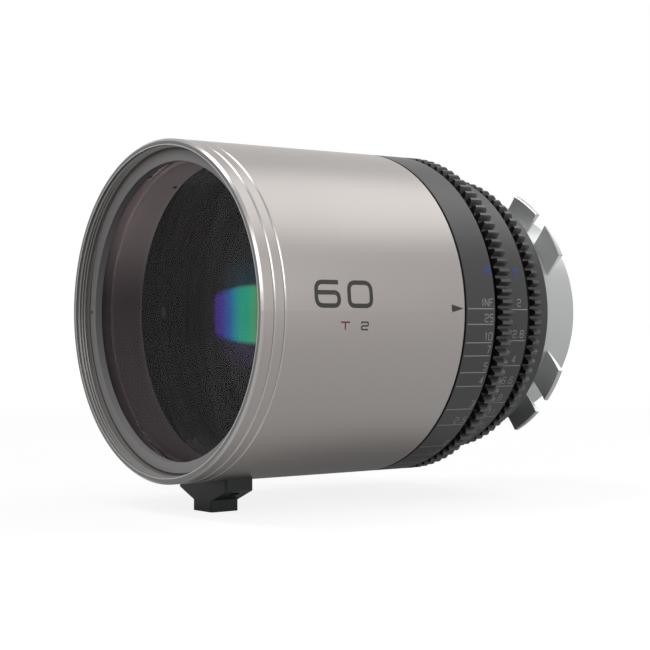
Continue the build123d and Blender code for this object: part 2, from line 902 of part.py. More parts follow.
def drive_pin_path(turn):
    """Place of a blade's drive pin, as the drive ring sees it, after this turn of the ring.

    The blade turns about its pivot by the ratio times the turn, and the ring turns back.
    """
    pin = turn_about(polar(blade_drive_circle, -blade_drive_angle),
                     (blade_pivot_circle, 0), -blade_ratio * turn)
    return turn_about(pin, (0, 0), turn)


def scroll_slot():
    """Outline of one scroll slot of the drive ring, from offsets of the pin's path."""
    half = blade_pin_radius + running_clearance
    steps = ceil(iris_throw / scroll_slot_step)
    sides = ([], [])
    for step in range(steps + 1):
        turn = iris_throw * step / steps
        here = drive_pin_path(turn)
        ahead = drive_pin_path(turn + scroll_slot_step / 2)
        behind = drive_pin_path(turn - scroll_slot_step / 2)
        along = (ahead[0] - behind[0], ahead[1] - behind[1])
        length = hypot(*along)
        for side, sign in zip(sides, (1, -1)):
            side.append((here[0] - sign * half * along[1] / length,
                         here[1] + sign * half * along[0] / length))
    slot = make_face([
        Spline(*sides[0]), Line(sides[0][-1], sides[1][-1]),
        Spline(*reversed(sides[1])), Line(sides[1][0], sides[0][0]),
    ])
    for turn in (0, iris_throw):
        slot += Pos(*drive_pin_path(turn)) * Circle(half)
    return slot


def iris_drive_ring():
    """Ring with one scroll slot for each blade's drive pin."""
    face = Circle(drive_ring_radius) - Circle(drive_ring_bore)
    slot = scroll_slot()
    for angle in around(blade_count):
        face -= Rot(0, 0, angle) * slot
    ring = extrude(section(drive_ring_front) * face, drive_ring_thickness)
    return ring - rod(drive_pin_radius, drive_pin_angle, drive_pin_station,
                      drive_ring_radius - drive_pin_depth, drive_ring_radius + overrun)


def iris_base_plate():
    """Fixed plate with a pivot hole for each blade."""
    plate = tube(base_plate_bore, iris_plate_bore, base_plate_front, base_plate_rear)
    for angle in around(blade_count):
        plate -= bar(blade_pin_radius + running_clearance, blade_pivot_circle, angle,
                     base_plate_front - overrun, base_plate_rear + overrun)
    return plate


def blade_outline():
    """Crescent with its head: the head carries the pivot and the drive pin."""
    outer = blade_open_radius + blade_width
    first, last = blade_head_angle, -blade_tail_angle
    half = (first + last) / 2
    tail = polar(blade_open_radius + blade_width / 2, last - degrees(blade_width / 2 / outer))
    crescent = make_face([
        ThreePointArc(polar(outer, first), polar(outer, half), polar(outer, last)),
        ThreePointArc(polar(outer, last), tail, polar(blade_open_radius, last)),
        ThreePointArc(polar(blade_open_radius, last), polar(blade_open_radius, half),
                      polar(blade_open_radius, first)),
        Line(polar(blade_open_radius, first), polar(outer, first)),
    ])
    pivot = (blade_pivot_circle, 0)
    drive = polar(blade_drive_circle, -blade_drive_angle)
    neck = make_face(Polyline(
        polar(outer - blade_boss_radius, 0), pivot, drive,
        polar(outer - blade_boss_radius, -blade_drive_angle), close=True,
    ))
    head = Pos(*pivot) * Circle(blade_boss_radius) + Pos(*drive) * Circle(blade_boss_radius)
    return crescent + neck + head


def iris_blade(index, angle):
    """One blade in its own layer, with a pivot pin in front and a drive pin behind."""
    front = blades_front + index * blade_pitch
    rear = front + blade_thickness
    plate = extrude(section(front) * Rot(0, 0, angle) * blade_outline(), blade_thickness)
    pivot = bar(blade_pin_radius, blade_pivot_circle, angle,
                base_plate_front + blade_pin_end_gap, front)
    drive = bar(blade_pin_radius, blade_drive_circle, angle - blade_drive_angle,
                rear, drive_ring_rear - blade_pin_end_gap)
    return plate + pivot + drive


def iris_cover_plate():
    """Fixed plate behind the drive ring."""
    return tube(cover_plate_bore, iris_bore, cover_front, pocket_front)


def iris_retaining_ring():
    """Ring that keeps the iris in the housing."""
    return spanner_ring(iris_plate_bore - iris_ring_width, iris_plate_bore,
                        base_plate_front - iris_ring_length, base_plate_front)


# Rear group

def rear_cell():
    """Cell of the rear glass, screwed to the housing's web from in front."""
    cell = turned(
        (rear_cell_seat_radius, rear_cell_front), (web_pocket_radius, rear_cell_front),
        (web_pocket_radius, web_front), (rear_bore, web_front), (rear_bore, rear_cell_rear),
        (rear_glass_radius, rear_cell_rear), (rear_glass_radius, rear_front_glass),
        (rear_cell_seat_radius, rear_front_glass),
    )
    for angle in around(rear_cell_screw_count):
        cell -= screw_room(mount_screw_circle, angle, rear_cell_front + screw_head_height,
                           web_front + overrun, rear_cell_front - overrun)
    return cell


def rear_cell_screws():
    """Screws that hold the rear cell."""
    return group(
        slotted_screw(mount_screw_circle, angle, rear_cell_front, screw_length)
        for angle in around(rear_cell_screw_count)
    )


def rear_element_front():
    """First glass of the rear group."""
    return round_lens(rear_glass_radius, rear_cell_seat_radius, rear_front_glass,
                      rear_spacer_front, -rear_front_bulge, rear_front_bulge)


def rear_spacer():
    """Ring between the two rear glasses."""
    return tube(rear_glass_radius - rear_spacer_wall, rear_glass_radius,
                rear_spacer_front, rear_rear_glass)


def rear_element_rear():
    """Last glass, which shows in the throat of the mount."""
    return round_lens(rear_glass_radius, rear_cell_seat_radius, rear_rear_glass,
                      rear_nut_front, rear_front_bulge, -rear_rear_bulge)


def rear_retaining_ring():
    """Ring that keeps the rear glass in."""
    return tube(rear_glass_radius - rear_ring_nut_width, rear_glass_radius,
                rear_nut_front, rear_nut_front + rear_ring_nut_length)


# Rear ring and mount

def rear_ring():
    """Fixed ring behind the iris gear, tapered towards the mount."""
    return turned(
        (rear_seat_radius, rear_ring_front), (rear_ring_radius, rear_ring_front),
        (rear_ring_radius, rear_ring_front + rear_ring_straight),
        (rear_ring_end_radius, housing_rear), (rear_seat_radius, housing_rear),
    )


def mount_shim():
    """Thin ring that sets the distance from the glass to the flange seat."""
    shim = tube(rear_bore, neck_radius, housing_rear, mount_front)
    for angle in around(mount_screw_count, 180 / mount_screw_count):
        shim -= bar(screw_shank_radius, mount_screw_circle, angle,
                    housing_rear - overrun, mount_front + overrun)
    return shim


def lug_tools():
    """Prisms that trim the flange ring to its four lugs, each with a notch."""
    lugs = []
    for angle in around(lug_count, 180 / lug_count):
        blank = Pos(lug_radius / 2 + overrun, 0) * Rectangle(lug_radius + 2 * overrun, lug_width)
        notch = Pos(neck_radius + lug_radius / 2, 0) * Rectangle(lug_radius, lug_notch_width)
        lugs.append(Rot(0, 0, angle) * (blank - notch))
    face = lugs[0]
    for lug in lugs[1:]:
        face += lug
    return extrude(section(lug_front - overrun) * face, lug_thickness + 2 * overrun)


def lens_mount():
    """Mount with a throat tube and four lugs, screwed on from inside the throat."""
    body = turned(
        (rear_bore, mount_front), (neck_radius, mount_front), (neck_radius, flange_station),
        (spigot_radius, flange_station), (spigot_radius, spigot_end - spigot_chamfer),
        (spigot_radius - spigot_chamfer, spigot_end),
        (throat_radius, spigot_end), (throat_radius, mount_screw_head_rear), (rear_bore, mount_screw_head_rear),
    )
    root, tip = neck_radius, lug_radius - lug_edge_chamfer
    dish = lug_front + lug_dish
    front_arc = ThreePointArc(
        (tip, at(lug_front)), ((root + tip) / 2, at(dish - lug_dish / 4)), (root, at(dish)))
    rest = Polyline(
        (root, at(dish)), (root, at(flange_station)), (tip, at(flange_station)),
        (lug_radius, at(flange_station - lug_edge_chamfer)),
        (lug_radius, at(lug_front + lug_edge_chamfer)), (tip, at(lug_front)),
    )
    flange = revolve(make_face([front_arc, rest]), Axis.Y) & lug_tools()
    mount = body + flange
    for angle in around(mount_screw_count, 180 / mount_screw_count):
        mount -= screw_room(mount_screw_circle, angle, mount_screw_head_rear - screw_head_height,
                            mount_front - overrun, mount_screw_head_rear + overrun)
    return mount


def mount_screws():
    """Screws from the floor of the throat through the shim into the housing."""
    return group(
        slotted_screw(mount_screw_circle, angle, mount_screw_head_rear, screw_length, False)
        for angle in around(mount_screw_count, 180 / mount_screw_count)
    )


# Support foot

def foot_screw_plane(side):
    """Plane of one foot screw, under its head, which faces up into the sleeve."""
    middle = foot_front + foot_length / 2
    start = Vector(side * foot_screw_offset, at(middle), -(barrel_radius + foot_edge_drop))
    return Plane(origin=start, x_dir=(1, 0, 0), z_dir=(0, 0, 1))


def support_foot():
    """Foot under the front of the barrel: a winged plate with a block and a threaded hole."""
    half, block = foot_width / 2, foot_block_width / 2
    edge = -(barrel_radius + foot_edge_drop)
    shoulder = -(barrel_radius + foot_block_drop)
    bottom = -(barrel_radius + foot_bottom_drop)
    outline = Polyline(
        (-half, 0), (half, 0), (half, edge), (block, shoulder), (block, bottom),
        (-block, bottom), (-block, shoulder), (-half, edge), close=True,
    )
    plane = Plane(origin=(0, at(foot_front), 0), x_dir=(1, 0, 0), z_dir=(0, -1, 0))
    foot = extrude(plane * make_face(outline), -foot_length)
    foot = fillet(foot.edges().filter_by(Axis.Z), foot_corner_radius)
    foot -= tube(0, barrel_radius, foot_front - overrun, foot_front + foot_length + overrun)
    middle = foot_front + foot_length / 2
    hole_plane = Plane(origin=(0, at(middle), bottom), x_dir=(1, 0, 0), z_dir=(0, 0, 1))
    foot -= extrude(hole_plane * Circle(foot_hole_radius), foot_hole_depth)
    for side in (-1, 1):
        plane = foot_screw_plane(side)
        foot -= extrude(plane * Circle(screw_head_radius), screw_head_height, both=True)
        foot -= extrude(plane * Circle(screw_shank_radius), foot_screw_length)
    return foot


def foot_screws():
    """Two screws that hold the foot to the sleeve."""
    screws = []
    for side in (-1, 1):
        plane = foot_screw_plane(side)
        head = extrude(plane * Circle(screw_head_radius), screw_head_height)
        shank = extrude(plane * Circle(screw_shank_radius), foot_screw_length)
        socket = extrude(plane * RegularPolygon(screw_shank_radius, foot_socket_sides), screw_slot_depth)
        screws.append(head + shank - socket)
    return group(screws)


parts = {
    "front_ring": front_ring,
    "front_cell": front_cell,
    "front_cell_screws": front_cell_screws,
    "front_retaining_ring": front_retaining_ring,
    "front_cylinder_element": front_cylinder_element,
    "front_spacer": front_spacer,
    "second_cylinder_element": second_cylinder_element,
    "barrel_sleeve": barrel_sleeve,
    "main_housing": main_housing,
    "anamorphic_cell": anamorphic_cell,
    "third_cylinder_element": third_cylinder_element,
    "anamorphic_retaining_ring": anamorphic_retaining_ring,
    "alignment_screws": alignment_screws,
    "cam_tube": cam_tube,
    "focus_scale_ring": focus_scale_ring,
    "focus_gear_ring": focus_gear_ring,
    "focus_ring_keys": focus_ring_keys,
    "focus_stop_pin": focus_stop_pin,
    "focus_cell": focus_cell,
    "focus_element_front": focus_element_front,
    "focus_spacer": focus_spacer,
    "focus_element_rear": focus_element_rear,
    "focus_retaining_ring": focus_retaining_ring,
    "follower_rollers": follower_rollers,
    "follower_screws": follower_screws,
    "iris_scale_ring": iris_scale_ring,
    "iris_gear_ring": iris_gear_ring,
    "iris_ring_screws": iris_ring_screws,
    "iris_drive_pin": iris_drive_pin,
    "iris_drive_ring": iris_drive_ring,
    "iris_base_plate": iris_base_plate,
    "iris_cover_plate": iris_cover_plate,
    "iris_retaining_ring": iris_retaining_ring,
    "rear_cell": rear_cell,
    "rear_cell_screws": rear_cell_screws,
    "rear_element_front": rear_element_front,
    "rear_spacer": rear_spacer,
    "rear_element_rear": rear_element_rear,
    "rear_retaining_ring": rear_retaining_ring,
    "rear_ring": rear_ring,
    "mount_shim": mount_shim,
    "lens_mount": lens_mount,
    "mount_screws": mount_screws,
    "support_foot": support_foot,
    "foot_screws": foot_screws,
}

os.makedirs("parts", exist_ok=True)
for name, make in parts.items():
    export_step(make(), f"parts/{name}.step")
for index, angle in enumerate(around(blade_count)):
    export_step(iris_blade(index, angle), f"parts/iris_blade_{index + 1:02d}.step")
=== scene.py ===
"""Looks of a cinema prime lens: its finishes, its glass, its engraved marks and the studio round it."""

import json
import math

import bpy
import numpy as np
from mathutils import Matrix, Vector


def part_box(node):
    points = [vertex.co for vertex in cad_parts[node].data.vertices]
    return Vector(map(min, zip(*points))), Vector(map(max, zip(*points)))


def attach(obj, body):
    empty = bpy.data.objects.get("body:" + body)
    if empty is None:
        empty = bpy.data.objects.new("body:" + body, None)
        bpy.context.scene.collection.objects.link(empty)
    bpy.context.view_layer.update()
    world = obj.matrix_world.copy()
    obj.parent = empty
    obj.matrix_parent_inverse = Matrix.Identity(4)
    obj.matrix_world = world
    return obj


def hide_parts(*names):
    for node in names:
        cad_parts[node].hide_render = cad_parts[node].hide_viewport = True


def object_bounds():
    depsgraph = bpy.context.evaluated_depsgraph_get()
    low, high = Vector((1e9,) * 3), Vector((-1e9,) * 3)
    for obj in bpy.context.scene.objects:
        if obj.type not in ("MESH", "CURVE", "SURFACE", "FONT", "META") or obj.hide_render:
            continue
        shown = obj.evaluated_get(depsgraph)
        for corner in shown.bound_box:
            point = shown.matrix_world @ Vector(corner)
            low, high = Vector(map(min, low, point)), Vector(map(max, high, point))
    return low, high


bl_info = {
    "name": "Cinema Prime Lens",
    "version": (1, 0, 0),
    "blender": (4, 5, 0),
    "location": "View3D > Sidebar > Lens",
    "description": "Finishes, glass and engraved marks of a geared cinema prime lens",
    "category": "Object",
}

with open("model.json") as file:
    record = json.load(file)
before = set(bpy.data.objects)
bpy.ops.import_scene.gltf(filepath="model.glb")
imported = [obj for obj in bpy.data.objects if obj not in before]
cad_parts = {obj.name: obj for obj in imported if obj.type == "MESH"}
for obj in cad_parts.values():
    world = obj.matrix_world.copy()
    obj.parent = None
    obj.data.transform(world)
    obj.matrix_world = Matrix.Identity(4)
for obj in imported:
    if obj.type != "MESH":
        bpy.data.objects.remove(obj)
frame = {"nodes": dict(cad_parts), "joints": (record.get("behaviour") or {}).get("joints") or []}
CAD_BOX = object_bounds()
NODES = frame["nodes"]
MM = 0.001

# Places read from the frame. The optical axis is Y and the front glass faces -Y.
FRONT_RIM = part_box("front_ring")[0].y
BARREL_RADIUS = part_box("barrel_sleeve")[1].x
BARREL_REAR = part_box("barrel_sleeve")[1].y
FOCUS_BAND = (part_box("focus_scale_ring")[0].y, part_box("focus_scale_ring")[1].y)
IRIS_BAND = (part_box("iris_scale_ring")[0].y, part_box("iris_gear_ring")[0].y)
IRIS_BAND_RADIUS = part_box("iris_scale_ring")[1].x
RETAINING_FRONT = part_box("front_retaining_ring")[0].y
DEEP_GLASS_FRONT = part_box("second_cylinder_element")[0].y
SPACER_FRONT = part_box("front_spacer")[0].y
FOOT_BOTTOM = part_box("support_foot")[0].z
JOINTS = {joint["name"]: joint for joint in frame["joints"]}
FOCUS_THROW = JOINTS["focus_turn"]["range_deg"][1]
IRIS_THROW = JOINTS["iris_turn"]["range_deg"][1]

# Sizes of the solids that no box of the frame gives by itself.
SPACER_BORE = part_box("front_spacer")[1].x - 0.95 * MM
THREAD_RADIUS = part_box("front_retaining_ring")[1].x + 1.0 * MM
LUG_RADIUS = 34.0 * MM
SPIGOT_RADIUS = 27.0 * MM
GEAR_RELIEF = 2.7 * MM

# Depths and widths of the zones that have a finish of their own, and of those with painted light: a painted
# highlight on the front face's inner edge, and painted shade at the gear teeth and in the groove before
# them.
FACE_DEPTH = 0.03 * MM
CUT_DEPTH = 0.04 * MM
INNER_EDGE_WIDTH = 0.12 * MM
THREAD_WALL_MARGIN = 0.08 * MM
HOLE_MARGIN = 0.1 * MM
HOLE_DEPTH = 0.3 * MM
LUG_FOOT = 0.6 * MM
LUG_EDGE_WIDTH = 0.35 * MM
TOOTH_DEPTH = 1.3 * MM
TEETH_FACE_DEPTH = 0.02 * MM
# Painted shade: the metal behind the front thread is dark up to the first height over the axis, and has its
# full colour from the second.
CELL_SHADE_HEIGHTS = (2 * MM, 26 * MM)

# How strongly the grain and the lathe marks show, and how many uneven patches a metre of metal has.
GRAIN_STRENGTH = 0.35
TURNED_STRENGTH = 0.5
HANDLING_PATCHES = 45
TURNED_PATCHES = 60

# How far the left and right sides of each front glass stand behind its middle, or before it where
# the value is negative.
FRONT_GLASS_CURVE = -2.0 * MM
SECOND_GLASS_CURVE = 5.0 * MM

# Colours of the painted reflection that the second glass emits: across the coating's band, and up the faint
# glow past its ends, by their share of the way.
BAND_COLOURS = (
    (0.0, (0.0, 0.0, 0.0)), (0.10, (0.030, 0.012, 0.15)), (0.25, (0.028, 0.022, 0.20)),
    (0.38, (0.0, 0.075, 0.23)), (0.50, (0.0, 0.16, 0.24)), (0.62, (0.0, 0.25, 0.17)),
    (0.78, (0.0, 0.27, 0.14)), (0.90, (0.03, 0.27, 0.12)), (1.0, (0.10, 0.20, 0.05)),
)
GLOW_COLOURS = (
    (0.0, (0.0, 0.0, 0.0)), (0.12, (0.012, 0.007, 0.022)), (0.25, (0.014, 0.010, 0.030)),
    (0.5, (0.0, 0.0, 0.0)), (0.75, (0.0, 0.016, 0.022)), (0.92, (0.0, 0.010, 0.014)),
    (1.0, (0.0, 0.0, 0.0)),
)
# Where the band and the glow are full and where they are gone: the band towards its ends, both
# past the right side, and the glow towards the left side.
BAND_ENDS = (0.8, 1.25)
RIGHT_SIDE = (1.0, 1.45)
GLOW_LEFT = (0.75, 0.1)
BAND_SLANT = 0.6

# The front thread starts and ends this many pitches inside its bore. Its ridge fades to the least
# share of its height, and its foot lies in the wall by another share.
THREAD_START = 0.8
THREAD_END = 0.6
THREAD_LEAST = 0.02
THREAD_SINK = 0.05

# Angles of the marks turn about +Y from +X, positive towards the bottom, in degrees.
INDEX_ANGLE = -1.1
NUMBER_ANGLE = -1.7
STOP_ANGLE = 5.9
FOCUS_LETTER_ANGLE = INDEX_ANGLE - 11.9
IRIS_LETTER_ANGLE = INDEX_ANGLE - 11.3

# Where the barrel's marks start.
NUMBER_START = BARREL_REAR - 44.1 * MM
STOP_LETTER_START = BARREL_REAR - 37.2 * MM
STOP_NUMBER_START = BARREL_REAR - 31.3 * MM
INDEX_BASE = BARREL_REAR - 4.1 * MM
INDEX_TIP = BARREL_REAR - 0.35 * MM

# Cells of the small characters, (width, height), and the widths of their strokes.
STOP_LETTER_CELL = (2.5 * MM, 1.65 * MM)
STOP_NUMBER_CELL = (1.95 * MM, 1.65 * MM)
FOCUS_LETTER_CELL = (1.6 * MM, 2.0 * MM)
IRIS_LETTER_CELL = (1.7 * MM, 2.8 * MM)
STOP_STROKE = 0.36 * MM
FOCUS_LETTER_STROKE = 0.3 * MM
IRIS_LETTER_STROKE = 0.4 * MM
INDEX_HALF_WIDTH = 0.97 * MM
INDEX_TIP_HALF_WIDTH = 0.01 * MM

# The ends of the scale lines, the places of their labels along the axis, and how far round the
# band a label stands from its line.
FOCUS_LINE_ENDS = (FOCUS_BAND[0] + 0.35 * MM, FOCUS_BAND[1] - 0.45 * MM)
IRIS_LINE_ENDS = (IRIS_BAND[0] + 0.4 * MM, IRIS_BAND[1] - 1.0 * MM)
FOCUS_LABEL_END = FOCUS_LINE_ENDS[1] - 0.15 * MM
IRIS_LABEL_MIDDLE = (IRIS_LINE_ENDS[0] + IRIS_LINE_ENDS[1]) / 2 + 1.0 * MM
FOCUS_LABEL_LIFT = 0.62 * MM
IRIS_LABEL_LIFT = 0.75 * MM

# Distance marks: label and angle behind the far mark. The last ones follow the near limit.
FOCUS_MARKS = (
    ("INF", 0.0), ("25", 5.3), ("10", 11.6), ("7", 16.2), ("5", 22.2), ("4", 27.4),
    ("3", 36.8), ("2.5", 44.0), ("2", 56.1), ("1.8", 62.3), ("1.6", 70.0), ("1.4", 80.5),
    ("1.2", 94.0), ("1.1", 103.5), ("1", FOCUS_THROW - 5.0), ("", FOCUS_THROW),
)
# Stop marks: label and angle behind the widest stop.
IRIS_MARKS = (
    ("2", 0.0), ("2.8", 12.2), ("4", 22.4), ("5.6", 31.4), ("8", 39.5), ("11", 47.2),
    ("16", 54.8), ("22", 62.2), ("", IRIS_THROW),
)

# Strokes of the plain characters, as shares of a cell: its left foot is (0, 0) and its right top (1, 1).
GLYPH_STROKES = {
    "0": [[(0.5, 0), (0, 0), (0, 1), (1, 1), (1, 0), (0.5, 0)]],
    "1": [[(0.2, 0.78), (0.6, 1), (0.6, 0)]],
    "2": [[(0, 0.8), (0, 1), (1, 1), (1, 0.5), (0, 0.5), (0, 0), (1, 0)]],
    "3": [[(0, 1), (1, 1), (1, 0), (0, 0)], [(0.3, 0.5), (1, 0.5)]],
    "4": [[(0.72, 0), (0.72, 1), (0, 0.28), (1, 0.28)]],
    "5": [[(1, 1), (0, 1), (0, 0.56), (1, 0.56), (1, 0), (0, 0)]],
    "6": [[(1, 1), (0, 1), (0, 0), (1, 0), (1, 0.56), (0, 0.56)]],
    "7": [[(0, 1), (1, 1), (0.35, 0)]],
    "8": [[(0.5, 0), (0, 0), (0, 1), (1, 1), (1, 0), (0.5, 0)], [(0, 0.53), (1, 0.53)]],
    "9": [[(0, 0), (1, 0), (1, 1), (0, 1), (0, 0.44), (1, 0.44)]],
    "F": [[(0, 0), (0, 1), (1, 1)], [(0, 0.52), (0.8, 0.52)]],
    "I": [[(0.5, 0), (0.5, 1)]],
    "M": [[(0, 0), (0, 1), (0.5, 0.3), (1, 1), (1, 0)]],
    "N": [[(0, 0), (0, 1), (1, 0), (1, 1)]],
    "T": [[(0, 1), (1, 1)], [(0.5, 1), (0.5, 0)]],
    ".": [[(0.5, 0), (0.5, 0.14)]],
}
SHARP_GLYPHS = "14MN7"
NARROW_SHARES = {".": 0.3, "1": 0.75, "I": 0.35}
# Shares of a cell's width: the radius of the rounded corners, and the gap between two characters.
CORNER_SHARE = 0.3
GAP_SHARE = 0.3
# The longest straight run that is laid round a cylinder, and how deep a stroke's foot lies in the metal.
LONGEST_RUN = 0.4 * MM
PAINT_FOOT = 0.02 * MM
# Turns under this angle stay sharp, a rounded corner takes up to this share of a run, and a mitre's
# cosine counts as no less than this.
LEAST_TURN = 0.01
RUN_SHARE = 0.49
LEAST_MITRE = 0.4

# Soft boxes: name, place from the lens's middle, width and height in metres, and the setting with
# its power.
SOFT_BOXES = (
    ("rear_box", (0.13, 0.36, 0.50), (0.5, 0.35), "rear_power"),
    ("top_box", (-0.12, -0.25, 0.65), (0.28, 0.28), "top_power"),
    ("side_box", (0.75, 0.12, 0.22), (0.4, 0.4), "side_power"),
    ("fill_box", (0.35, -0.70, 0.30), (0.4, 0.4), "fill_power"),
)

# The floor's half length and colour. To the eye it is a little grey up to the first distance from
# the origin, and white from the second.
FLOOR_HALF = 4.0
FLOOR_COLOUR = (0.22, 0.22, 0.22, 1)
FLOOR_GREY = 0.16
FLOOR_GREY_REACH = (0.2, 1.0)
# In the metal it looks darker close beside the lens, where a step along the axis counts for less.
FLOOR_SHADE = 0.75
FLOOR_SHADE_REACH = (0.014, 0.038)
ALONG_SHARE = 0.35

# The camera's place in millimetres, its direction round the vertical, the small dip of its view,
# the width of its sensor in millimetres, and the nearest and farthest places it sees, in metres.
CAMERA_PLACE = (324.89, -310.88, -2.97)
CAMERA_AZIMUTH = math.radians(51.58)
CAMERA_DIP = 0.0003
SENSOR_WIDTH = 36.0
CAMERA_REACH = (0.01, 20)

# What the settings of one kind have in common.
COLOUR = {"subtype": "COLOR", "size": 3, "min": 0, "max": 1}
LENGTH = {"subtype": "DISTANCE", "unit": "LENGTH"}
SHARE = {"subtype": "FACTOR", "min": 0, "max": 1}
POWER = {"unit": "POWER", "min": 0}


# Settings that a user would change

class LensFinishSettings(bpy.types.PropertyGroup):
    """Colours and roughness of the metal."""

    barrel_colour: bpy.props.FloatVectorProperty(
        name="Barrel", description="Satin colour of the barrel and the front ring",
        default=(0.33, 0.305, 0.292), **COLOUR)
    barrel_roughness: bpy.props.FloatProperty(
        name="Barrel roughness", description="Roughness of the satin barrel", default=0.36, **SHARE)
    cut_colour: bpy.props.FloatVectorProperty(
        name="Cut edges", description="Bright metal of the chamfers and groove flanks",
        default=(0.34, 0.33, 0.32), **COLOUR)
    # Painted highlight: a near-white line for the light on the inner edge of the front face.
    edge_highlight_colour: bpy.props.FloatVectorProperty(
        name="Inner edge", description="Bright line round the inner edge of the front face",
        default=(0.75, 0.74, 0.72), **COLOUR)
    face_colour: bpy.props.FloatVectorProperty(
        name="Front face", description="Dark finish of the flat face round the front opening",
        default=(0.205, 0.20, 0.203), **COLOUR)
    thread_colour: bpy.props.FloatVectorProperty(
        name="Thread", description="Dark finish of the front thread's bore",
        default=(0.24, 0.235, 0.225), **COLOUR)
    band_colour: bpy.props.FloatVectorProperty(
        name="Bands", description="Dark anodised colour of the scale bands and the rear ring",
        default=(0.052, 0.052, 0.053), **COLOUR)
    gear_colour: bpy.props.FloatVectorProperty(
        name="Gears", description="Dark anodised colour of the two ring gears",
        default=(0.085, 0.085, 0.086), **COLOUR)
    # Painted shade: the two colours below stand for the shade between the gear teeth and in the groove
    # before them.
    gap_shade_colour: bpy.props.FloatVectorProperty(
        name="Tooth gaps", description="Colour at the foot of the gear teeth",
        default=(0.065, 0.065, 0.066), **COLOUR)
    relief_shade_colour: bpy.props.FloatVectorProperty(
        name="Gear reliefs", description="Colour of the grooves before the gear teeth",
        default=(0.002, 0.002, 0.002), **COLOUR)
    mount_colour: bpy.props.FloatVectorProperty(
        name="Mount", description="Colour of the hard-chromed mount",
        default=(0.44, 0.452, 0.45), **COLOUR)
    lug_colour: bpy.props.FloatVectorProperty(
        name="Lugs", description="Colour of the mount's lugs", default=(0.62, 0.635, 0.632), **COLOUR)
    lug_edge_colour: bpy.props.FloatVectorProperty(
        name="Lug edges", description="Colour of the bright-cut edge round the lugs",
        default=(0.36, 0.366, 0.364), **COLOUR)
    inner_colour: bpy.props.FloatVectorProperty(
        name="Front cell", description="Colour of the dark metal behind the front thread",
        default=(0.36, 0.31, 0.29), **COLOUR)
    # Painted shade: a darker copy of the front cell's colour for its lower part.
    inner_shade_colour: bpy.props.FloatVectorProperty(
        name="Front cell, low", description="Colour of the same metal at the axis's height and below it",
        default=(0.085, 0.072, 0.074), **COLOUR)
    ring_colour: bpy.props.FloatVectorProperty(
        name="Retaining ring", description="Colour of the ring that keeps the front glass in",
        default=(0.33, 0.322, 0.325), **COLOUR)
    foot_colour: bpy.props.FloatVectorProperty(
        name="Foot", description="Colour of the support foot", default=(0.008, 0.010, 0.0095), **COLOUR)
    black_colour: bpy.props.FloatVectorProperty(
        name="Blackening", description="Colour of the blackened metal inside the lens",
        default=(0.006, 0.006, 0.007), **COLOUR)
    screw_colour: bpy.props.FloatVectorProperty(
        name="Screws", description="Colour of the screws, pins and keys",
        default=(0.03, 0.03, 0.032), **COLOUR)
    bronze_colour: bpy.props.FloatVectorProperty(
        name="Bronze", description="Colour of the rollers and the iris drive ring",
        default=(0.55, 0.36, 0.16), **COLOUR)
    blade_colour: bpy.props.FloatVectorProperty(
        name="Blades", description="Colour of the iris blades", default=(0.035, 0.035, 0.038), **COLOUR)
    grain_size: bpy.props.FloatProperty(
        name="Grain", description="Size of the blasted grain in the metal",
        min=0.05 * MM, max=5 * MM, default=0.25 * MM, **LENGTH)
    tooling_pitch: bpy.props.FloatProperty(
        name="Tooling pitch", description="Distance from one turning mark to the next",
        min=0.05 * MM, max=5 * MM, default=0.35 * MM, **LENGTH)


class LensGlassSettings(bpy.types.PropertyGroup):
    """Tint and coating of the glass, and the coating's painted reflection."""

    glass_tint: bpy.props.FloatVectorProperty(
        name="Glass tint", description="Colour that the glass gives to what is behind it",
        default=(0.93, 0.90, 0.93), **COLOUR)
    refraction: bpy.props.FloatProperty(
        name="Refraction", description="Refractive index of the glass", min=1, max=2, default=1.10)
    coating_level: bpy.props.FloatProperty(
        name="Coating reflection", description="Strength of the coated surfaces' reflection",
        default=0.3, **SHARE)
    # Painted reflection: the settings below place the coloured band that the second glass emits for the
    # coating's reflection.
    flare_centre: bpy.props.FloatProperty(
        name="Coating band centre", description="Place of the coloured coating band across the glass",
        default=6.0 * MM, **LENGTH)
    flare_width: bpy.props.FloatProperty(
        name="Coating band width", description="Width of the coloured coating band",
        min=1 * MM, default=18.0 * MM, **LENGTH)
    flare_middle: bpy.props.FloatProperty(
        name="Coating band middle", description="Height of the coating band's middle over the axis",
        default=-0.6 * MM, **LENGTH)
    flare_height: bpy.props.FloatProperty(
        name="Coating band half height", description="Height of the coloured band above its middle",
        min=1 * MM, default=6.6 * MM, **LENGTH)


